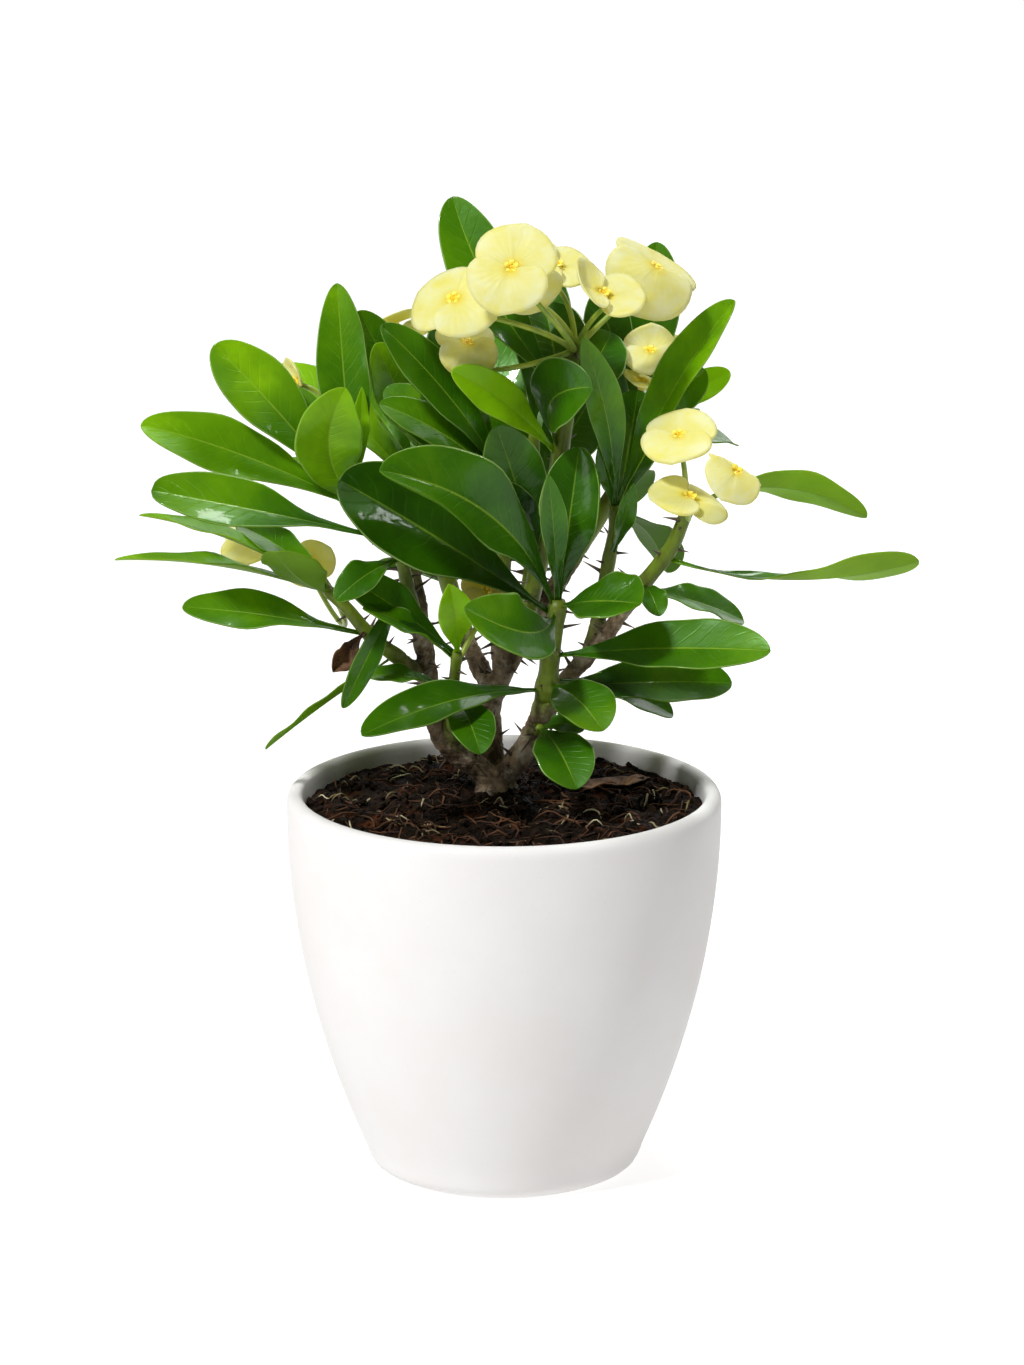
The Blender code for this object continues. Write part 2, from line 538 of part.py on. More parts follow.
def fuse(name, pieces, finish):
    """Joins the pieces in one body by one union, and removes the loose ones."""
    body, loose = pieces[0], pieces[1:]
    body.name = name
    body.data.name = name
    if loose:
        group = bpy.data.collections.new("loose")
        for piece in loose:
            for holder in piece.users_collection:
                holder.objects.unlink(piece)
            group.objects.link(piece)
        union = body.modifiers.new("union", "BOOLEAN")
        union.operation = "UNION"
        union.operand_type = "COLLECTION"
        union.collection = group
        union.solver = "EXACT"
        bpy.context.view_layer.objects.active = body
        bpy.ops.object.modifier_apply(modifier=union.name)
        for piece in loose:
            bpy.data.objects.remove(piece)
        bpy.data.collections.remove(group)
        keep_largest(body.data)
    body.data.materials.clear()
    body.data.materials.append(finish)
    return body


def turned(name, profile, steps, finish, collection):
    """A solid turned round +Z from a profile of radius and height, top to bottom."""
    mesh = bpy.data.meshes.new(name)
    points = [(radius * MM, 0.0, height * MM) for radius, height in profile]
    mesh.from_pydata(points, [(index, index + 1) for index in range(len(points) - 1)], [])
    made = new_object(name, mesh, collection)
    screw = made.modifiers.new("turn", "SCREW")
    screw.steps = steps
    screw.render_steps = steps
    screw.use_merge_vertices = True
    screw.merge_threshold = WELD
    made.data.materials.append(finish)
    return made


def pot_radius(height):
    """Outer radius of the pot's side."""
    return POT_RADIUS - POT_TAPER * ((POT_SHOULDER - height) / POT_SHOULDER) ** 2


def pot_heights():
    """Heights of the rings down the pot's side, below its widest one."""
    return [POT_SHOULDER + (POT_FOOT_CURVE - POT_SHOULDER) * step / POT_ROWS for step in range(1, POT_ROWS)]


def build_pot(finish, collection):
    """The pot: side, flat foot, floor, inner wall and rounded lip as one turned solid."""
    heights = [*pot_heights(), POT_FOOT_CURVE]
    low = pot_radius(POT_FOOT_CURVE)
    foot = [(low - inset, height) for inset, height in POT_FOOT_EDGE]
    foot += [(POT_FOOT_RADIUS, 0.0), (0.0, 0.0)]
    inner = [(pot_radius(height) - POT_WALL, height) for height in reversed(heights[:-1])]
    profile = [(0.0, POT_FLOOR)]
    profile += [(low - POT_WALL - inset, POT_FLOOR + height) for inset, height in POT_FLOOR_EDGE] + inner
    profile += [(POT_RADIUS - POT_WALL, POT_SHOULDER)] + list(reversed(POT_LIP))
    profile += [(pot_radius(height), height) for height in heights] + foot
    made = turned("pot", profile, POT_STEPS, finish, collection)
    made.data.shade_smooth()
    return made


def build_soil(finish, collection, cutters):
    """The soil: fills the pot, with an uneven top and a plain hole for the trunk."""
    top = [(0.0, SOIL_EDGE)] + [(radius, SOIL_EDGE) for radius in reversed(SOIL_RINGS)]
    side = [(pot_radius(height) - POT_WALL - GAP, height) for height in pot_heights()]
    floor = pot_radius(POT_FOOT_CURVE) - POT_WALL - POT_FLOOR_EDGE[0][0] - GAP
    bottom = [(floor, POT_FLOOR + GAP), (0.0, POT_FLOOR + GAP)]
    made = bake(turned("blank", top + side + bottom, POT_STEPS, finish, collection), "soil", collection)
    for vertex in made.data.vertices:
        x, y, z = vertex.co / MM
        if z > SOIL_EDGE - GAP:
            vertex.co.z = soil_height(x, y) * MM
    cutter = cone("trunk_hole", (*CROWN, CROWN_DEPTH - GAP), (0, 0, 1),
                  (CROWN_RADIUS + GAP, CROWN_RADIUS + GAP), HOLE_LENGTH, CROWN_SIDES, cutters)
    cutter.hide_render = True
    cutter.display_type = "WIRE"
    cut = made.modifiers.new("trunk_hole", "BOOLEAN")
    cut.operation = "DIFFERENCE"
    cut.solver = "EXACT"
    cut.object = cutter
    return made


def blade_points():
    """A cloud of points on every blade and stalk, for keeping thorns off them."""
    cloud = []
    for shoot in SHOOTS:
        path = green_path(shoot)
        for leaf in shoot.leaves:
            grid = blade_grid(leaf, leaf_foot(leaf, path, shoot.radius[1]), 14, 4)
            cloud.append(grid[3:].reshape(-1, 3))
        for bloom in shoot.blooms:
            cloud.append(stalk_path(bloom, path)[2:])
            for half_turn in (0, 1):
                cloud.append(bract_grid(bloom, half_turn, 3, 6).reshape(-1, 3))
    return np.concatenate(cloud)


def other_stems(shoot):
    """Points along every limb but the shoot's own."""
    return np.concatenate([smooth_path(other.limb, 2 * PATH_STEPS)
                           for other in SHOOTS if other is not shoot])


def thorns(name, path, radii, seed, keep_off, collection):
    """Thorns round a stem on a golden-angle spiral, none of them near the points to keep off."""
    draw = random.Random(seed)
    lengths = np.concatenate([[0], np.cumsum(np.linalg.norm(np.diff(path, axis=0), axis=1))])
    made = []
    place, turn = THORN_EVERY * 0.5, draw.uniform(0, math.tau)
    while place < lengths[-1] - 2:
        foot = along_path(path, place / lengths[-1])
        tangent = unit(along_path(path, min(1.0, place / lengths[-1] + 0.02)) - foot)
        side = unit(np.cross(tangent, (0.3, 1.0, 0.1)))
        out = side * math.cos(turn) + np.cross(tangent, side) * math.sin(turn)
        aim = unit(out + tangent * draw.uniform(*THORN_LEAN))
        radius = float(np.interp(place, lengths, radii))
        length = radius + draw.uniform(*THORN_LENGTH)
        samples = foot + np.outer(np.linspace(radius, length + GAP, 5), aim)
        nearest = min(np.linalg.norm(keep_off - sample, axis=1).min() for sample in samples)
        if nearest > THORN_CLEAR:
            start = foot + aim * radius * 0.5
            made.append(cone(name, start, aim, (THORN_RADIUS, THORN_TIP), length - radius * 0.5,
                             THORN_SIDES, collection))
        place += THORN_EVERY * draw.uniform(*THORN_SPREAD)
        turn += GOLDEN_ANGLE
    return made


def build_trunk(finish, blades, collection):
    """The woody trunk: the stub in the soil and every limb up to its green stem."""
    pieces = [cone("trunk", (*CROWN, CROWN_DEPTH), (0, 0, 1), (CROWN_RADIUS * 0.8, CROWN_RADIUS),
                   CROWN_TOP - CROWN_DEPTH, CROWN_SIDES, collection)]
    for order, shoot in enumerate(SHOOTS):
        path = smooth_path(shoot.limb, PATH_STEPS)
        radii = np.linspace(*shoot.radius, len(path))
        stop = shoot.green_from * PATH_STEPS + 1
        pieces.append(tube("limb", path[:stop], radii[:stop], collection))
        above = path[:stop][path[:stop, 2] > CROWN_TOP + BARE_BARK]
        if len(above) > 1:
            keep_off = np.concatenate([blades, other_stems(shoot)])
            pieces += thorns("thorn", above, radii[:stop][-len(above):], order + 1, keep_off, collection)
    return fuse("trunk", pieces, finish)


def build_shoot(shoot, order, finish, blades, collection):
    """One green stem with its leaves, thorns and flower stalks."""
    path = green_path(shoot)
    radii = np.linspace(*shoot.radius, len(shoot.limb) * PATH_STEPS)[-len(path):]
    pieces = [tube(shoot.name, path, radii, collection)]
    for leaf in shoot.leaves:
        foot = leaf_foot(leaf, path, shoot.radius[1])
        pieces.append(sheet("leaf", blade_grid(leaf, foot, leaf_rows(leaf, foot), 2), collection))
    for bloom in shoot.blooms:
        stalk = stalk_path(bloom, path)
        pieces.append(tube("stalk", stalk, [STALK_RADIUS] * len(stalk), collection))
    keep_off = np.concatenate([blades, other_stems(shoot)])
    pieces += thorns("thorn", path, radii, order + 50, keep_off, collection)
    return fuse(shoot.name, pieces, finish)


def fallen_grid(rows, columns):
    """Points of the dry leaf that lies on the soil, which it follows."""
    foot, tip = np.array(FALLEN_LEAF[0], float), np.array(FALLEN_LEAF[1], float)
    side = np.array((tip[1] - foot[1], foot[0] - tip[0])) / np.linalg.norm(tip - foot)
    grid = np.zeros((rows + 1, columns + 1, 3))
    for row in range(rows + 1):
        share = row / rows
        shape = math.sin(math.pi * share ** 1.3) ** 0.8 if 0 < share < 1 else 0.0
        half = FALLEN_LEAF_WIDTH / 2 * max(FALLEN_LEAF_END, shape)
        for column in range(columns + 1):
            s = 2 * column / columns - 1
            spot = foot + (tip - foot) * share + side * half * s
            rise = FALLEN_LEAF_LIFT + FALLEN_LEAF_CURL * abs(s) * math.sin(math.pi * share)
            grid[row, column] = (*spot, soil_height(*spot) + rise)
    return grid


def build_bloom(name, bloom, finish, collection):
    """Two bracts, rooted in the small cup between them."""
    foot = np.array(bloom.at) - unit(bloom.face) * (CUP_HEIGHT / 2 + CUP_DROP)
    pieces = [cone(name, foot, bloom.face, (CUP_RADIUS * CUP_TAPER, CUP_RADIUS), CUP_HEIGHT, CUP_SIDES,
                   collection)]
    for half_turn in (0, 1):
        pieces.append(sheet("bract", bract_grid(bloom, half_turn, BRACT_ROWS, BRACT_COLUMNS), collection))
    return fuse(name, pieces, finish)


def main():
    """Builds every piece in its own node."""
    for old in list(bpy.data.objects):
        bpy.data.objects.remove(old)
    parts = bpy.data.collections.new(COLLECTION)
    cutters = bpy.data.collections.new(CUTTERS)
    for group in (parts, cutters):
        bpy.context.scene.collection.children.link(group)
    white = material("white_ceramic", (0.86, 0.85, 0.84), 0.5)
    earth = material("potting_soil", (0.035, 0.018, 0.010), 0.95)
    bark = material("bark", (0.16, 0.105, 0.06), 0.85)
    leaf_green = material("leaf_green", (0.045, 0.20, 0.025), 0.35)
    yellow = material("bract_yellow", (0.93, 0.84, 0.36), 0.55)
    straw = material("dry_leaf", (0.30, 0.17, 0.07), 0.8)
    blades = blade_points()
    build_pot(white, parts)
    build_soil(earth, parts, cutters)
    build_trunk(bark, blades, parts)
    dried = blade_grid(DRIED_LEAF, np.array(DRIED_LEAF_FOOT), 4, 2)
    fuse("dried_leaf", [sheet("dried_leaf", dried, parts)], straw)
    fuse("fallen_leaf", [sheet("fallen_leaf", fallen_grid(6, 2), parts)], straw)
    number = 0
    for order, shoot in enumerate(SHOOTS):
        build_shoot(shoot, order, leaf_green, blades, parts)
        for bloom in shoot.blooms:
            number += 1
            build_bloom(f"bloom_{number:02d}", bloom, yellow, parts)


main()
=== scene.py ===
"""Looks of a potted crown of thorns plant.

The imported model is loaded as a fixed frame. Finer pieces then take the places of its solids: a smooth
pot, crumbly soil, a barked trunk, and for each shoot its stem, thorns, leaves and flower stalks. Blanks
such as a flat blade, a round bar or a thorn are modelled once and every repeat is a bent copy of one.
Sizes are millimetres until a mesh is written. The front of the plant looks along -Y.
"""
from __future__ import annotations

import logging
import math
from dataclasses import dataclass, field
from enum import Enum
from random import Random

import bpy
import numpy as np
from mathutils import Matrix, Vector, kdtree, noise

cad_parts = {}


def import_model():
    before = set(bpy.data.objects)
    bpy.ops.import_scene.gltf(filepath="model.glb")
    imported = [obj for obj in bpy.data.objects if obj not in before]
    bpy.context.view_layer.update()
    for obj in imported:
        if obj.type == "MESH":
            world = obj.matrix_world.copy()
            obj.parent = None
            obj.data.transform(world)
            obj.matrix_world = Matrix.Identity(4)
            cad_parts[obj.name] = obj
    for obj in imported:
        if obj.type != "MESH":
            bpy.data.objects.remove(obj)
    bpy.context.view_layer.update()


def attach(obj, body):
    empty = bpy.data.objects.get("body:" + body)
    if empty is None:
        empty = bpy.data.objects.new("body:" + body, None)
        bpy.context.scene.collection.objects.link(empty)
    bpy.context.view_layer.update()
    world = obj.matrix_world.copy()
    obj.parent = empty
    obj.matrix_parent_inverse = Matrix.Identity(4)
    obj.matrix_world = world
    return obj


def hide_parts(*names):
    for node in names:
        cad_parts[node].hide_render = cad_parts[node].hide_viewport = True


log = logging.getLogger("crown_of_thorns")

MM = 0.001
UP = (0.0, 0.0, 1.0)


class Tone(Enum):
    """How light a leaf's green is, from old and shaded to young."""
    DEEP = 0.06
    DARK = 0.24
    MID = 0.44
    FRESH = 0.68
    LIME = 0.92


class Slot(Enum):
    """The record's material slots."""
    CERAMIC = "white_ceramic"
    SOIL = "potting_soil"
    BARK = "bark"
    LEAF = "leaf_green"
    BRACT = "bract_yellow"
    DRY = "dry_leaf"


def unit(vector: np.ndarray | tuple) -> np.ndarray:
    """The vector, or each row of vectors, at length 1."""
    vector = np.asarray(vector, float)
    return vector / np.linalg.norm(vector, axis=-1, keepdims=True)


def smooth_path(points: tuple, steps: int) -> np.ndarray:
    """Points along a smooth curve that passes through the given ones.

    Args:
        points: The points to pass through.
        steps: Samples to each span.

    Returns:
        The points of the curve, one to a row.
    """
    points = [np.array(point, float) for point in points]
    ends = [2 * points[0] - points[1]] + points + [2 * points[-1] - points[-2]]
    path = [points[0]]
    for before, start, end, after in zip(ends, ends[1:], ends[2:], ends[3:]):
        for step in range(1, steps + 1):
            t = step / steps
            path.append(0.5 * (2 * start + (end - before) * t
                               + (2 * before - 5 * start + 4 * end - after) * t ** 2
                               + (3 * start - before - 3 * end + after) * t ** 3))
    return np.array(path)


def curved_path(points: tuple, steps: int) -> np.ndarray:
    """Points along one Bezier curve.

    Args:
        points: The control points.
        steps: Samples along the curve.

    Returns:
        The points of the curve, one to a row.
    """
    path = []
    for step in range(steps + 1):
        level = [np.array(point, float) for point in points]
        while len(level) > 1:
            level = [a + (b - a) * step / steps for a, b in zip(level, level[1:])]
        path.append(level[0])
    return np.array(path)


def shares_of(path: np.ndarray) -> np.ndarray:
    """The share of the path's length at each of its points."""
    lengths = np.concatenate([[0], np.cumsum(np.linalg.norm(np.diff(path, axis=0), axis=1))])
    return lengths / lengths[-1]


def length_of(path: np.ndarray) -> float:
    """The path's length."""
    return float(np.linalg.norm(np.diff(path, axis=0), axis=1).sum())


def along_path(path: np.ndarray, share: float | np.ndarray) -> np.ndarray:
    """The point or points at a share, or several, of the path's length."""
    shares = shares_of(path)
    return np.stack([np.interp(share, shares, path[:, axis]) for axis in range(3)], axis=-1)


def smooth_step(value: np.ndarray, low: float, high: float) -> np.ndarray:
    """0 below low, 1 above high and a soft curve between."""
    t = np.clip((value - low) / (high - low), 0.0, 1.0)
    return t * t * (3 - 2 * t)


@dataclass(frozen=True)
class Leaf:
    """A blade, from its place on the green stem to its tip."""
    at: float
    tip: tuple
    width: float
    face: tuple = (0.0, 0.0, 1.0)
    arch: float = 5.0
    sway: float = 0.0
    fold: float = 13.0
    twist: float = 0.0
    wave: float = 0.7
    belly: float = 0.64
    round: float = 0.6
    curl: float = 0.0
    tone: Tone = Tone.MID

    PETIOLE = 2.4
    TIP_WIDTH = 0.035
    GROOVE = 0.3
    LAST_FOOT = 0.96

    def foot(self, stem: np.ndarray, radius: float) -> np.ndarray:
        """Where the blade starts, inside the stem on the side that it grows from."""
        spot = along_path(stem, min(self.at, self.LAST_FOOT))
        ahead, tangent = unit(np.array(self.tip) - spot), unit(stem[-1] - stem[-3])
        return spot + (ahead - tangent * ahead.dot(tangent)) * radius * 0.5

    def surface(self, foot: np.ndarray, along: np.ndarray, across: np.ndarray) -> np.ndarray:
        """Points of the blade's middle surface.

        Args:
            foot: Where the blade starts.
            along: Shares from the foot to the tip.
            across: Shares from the left edge, -1, to the right edge, 1.

        Returns:
            An array of a row to each share along and a column to each share across.
        """
        reach = np.array(self.tip, float) - foot
        length = np.linalg.norm(reach)
        ahead = reach / length
        right = unit(np.cross(ahead, np.array(self.face, float)))
        up = np.cross(right, ahead)
        t, s = along[:, None], across[None, :]
        bend = up * self.arch + right * self.sway
        middle = foot + reach * t + bend * 4 * t * (1 - t)
        tangent = unit(reach + bend * (4 - 8 * t))
        turn = math.radians(self.twist) * (t - 0.3)
        side = right * np.cos(turn) + up * np.sin(turn)
        side = unit(side - tangent * (side * tangent).sum(axis=1, keepdims=True))
        top = np.cross(side, tangent)
        shape = np.clip(np.sin(math.pi * t ** (math.log(0.5) / math.log(self.belly))), 0.0, 1.0)
        half = self.width * np.where(t > self.belly, shape ** (self.round * 0.88), shape)
        half = 0.5 * np.maximum(half, np.maximum(self.PETIOLE * (1 - t), self.TIP_WIDTH * self.width))
        key, edge = float(np.dot(self.tip, (0.7, 1.3, 2.1))), np.sign(s)
        ripple = 0.030 * np.sin(11.0 * t + key + 1.9 * edge) + 0.018 * np.sin(23.0 * t + 2 * key - 2.3 * edge)
        half = half * (1.0 + ripple * np.sin(math.pi * t))
        fold = math.radians(self.fold)
        lift = half * math.sin(fold) * s * s * 1.12 / (np.abs(s) + 0.12)
        lift = lift + self.wave * s * s * np.sin(math.pi * t) * np.sin(9.5 * t + 2.2 * np.sign(s))
        lift = lift + 0.6 * s ** 4 * np.sin(math.pi * t) * np.sin(21.0 * t + 3 * key + 1.1 * edge)
        lift = lift - self.GROOVE * np.exp(-(s * half / 0.7) ** 2) * (1 - t)
        roll = abs(self.curl) * np.clip((t - 0.45) / 0.35, 0.0, 1.0)
        roll = roll * np.maximum(0.0, s * math.copysign(1.0, self.curl)) ** 2
        lift = lift + half * roll
        out = half * s * (math.cos(fold) - 0.35 * roll)
        return middle[:, None] + side[:, None] * out[..., None] + top[:, None] * lift[..., None]


@dataclass(frozen=True)
class Bloom:
    """A pair of bracts at the end of a stalk."""
    at: tuple
    face: tuple
    spin: float = 0.0
    size: float = 15.5
    cups: tuple = (0, 0)
    stalk: tuple = ()

    SWEEP = math.radians(112.0)
    LOBE = math.radians(85.0)

    def directions(self) -> tuple[np.ndarray, np.ndarray]:
        """The way the bloom looks and a way across it."""
        normal = unit(self.face)
        return normal, unit(np.cross((0.0, 1.0, 0.3), normal))

    def bract(self, half_turn: int, along: np.ndarray, across: np.ndarray) -> np.ndarray:
        """Points of one bract's middle surface.

        Args:
            half_turn: 0 for one bract and 1 for the other.
            along: Shares from the claw in the cup to the rim.
            across: Shares from one side, -1, to the other, 1.

        Returns:
            An array of a row to each share along and a column to each share across.
        """
        normal, sideways = self.directions()
        angle = math.radians(self.spin) + half_turn * math.pi
        out = np.cross(normal, sideways) * math.cos(angle) + sideways * math.sin(angle)
        wide = np.cross(out, normal)
        sweep = self.SWEEP * across[None, :]
        reach = self.size * np.cos(sweep * self.LOBE / self.SWEEP) ** 0.30
        reach = reach * (1 + 0.035 * np.exp(-(sweep / 0.1) ** 2)) * (1 - 0.03 * np.cos(2.6 * sweep + 1) ** 2)
        distance = 1.0 + (reach - 1.0) * along[:, None] ** 0.9
        share = distance / self.size
        x = 1.12 * distance * np.sin(sweep)
        y = 1.2 + distance * np.cos(sweep)
        lean = math.radians(self.cups[half_turn]) * share
        z = (1.3 if half_turn else -1.2) + np.maximum(y, 0.0) * np.sin(lean) + 1.2 * share - 1.6 * share ** 3
        y = np.minimum(y, y * np.cos(lean))
        z = z + 0.75 * share ** 2 * np.sin(2.6 * sweep + 1.3 + 2 * half_turn + self.spin)
        z = z + (0.8 if half_turn else -0.3) * share * np.abs(sweep / self.SWEEP) ** 3
        z = z - 0.5 * np.exp(-(sweep / 0.16) ** 2) * np.sin(math.pi * np.clip(share, 0, 1))
        place = np.array(self.at, float)
        return place + wide * x[..., None] + out * y[..., None] + normal * z[..., None]


@dataclass(frozen=True)
class Shoot:
    """A limb of the trunk with the green stem, leaves and blooms on its end."""
    name: str
    limb: tuple
    green_from: int
    radius: tuple
    leaves: tuple
    blooms: tuple = ()

    STEPS = 8

    def path(self) -> np.ndarray:
        """The whole limb's middle line."""
        return smooth_path(self.limb, self.STEPS)

    def radii(self) -> np.ndarray:
        """The limb's radius at each point of its path."""
        return np.linspace(*self.radius, len(self.limb) * self.STEPS - self.STEPS + 1)

    def split(self) -> int:
        """The path's point where the woody part ends and the green stem starts."""
        return self.green_from * self.STEPS

    def stem(self) -> np.ndarray:
        """The green stem's middle line."""
        return self.path()[self.split():]

    def stalk(self, bloom: Bloom) -> np.ndarray:
        """The middle line of a flower stalk, from inside the stem's top to the bloom's cup."""
        end = np.array(bloom.at) - unit(bloom.face) * 2.6
        bend = end - unit(bloom.face) * 2.5
        start = self.path()[-1 - self.STEPS // 2]
        path = curved_path((start, *bloom.stalk, bend - unit(bloom.face) * 5.0, bend), 14)
        return np.concatenate([path, [end]])


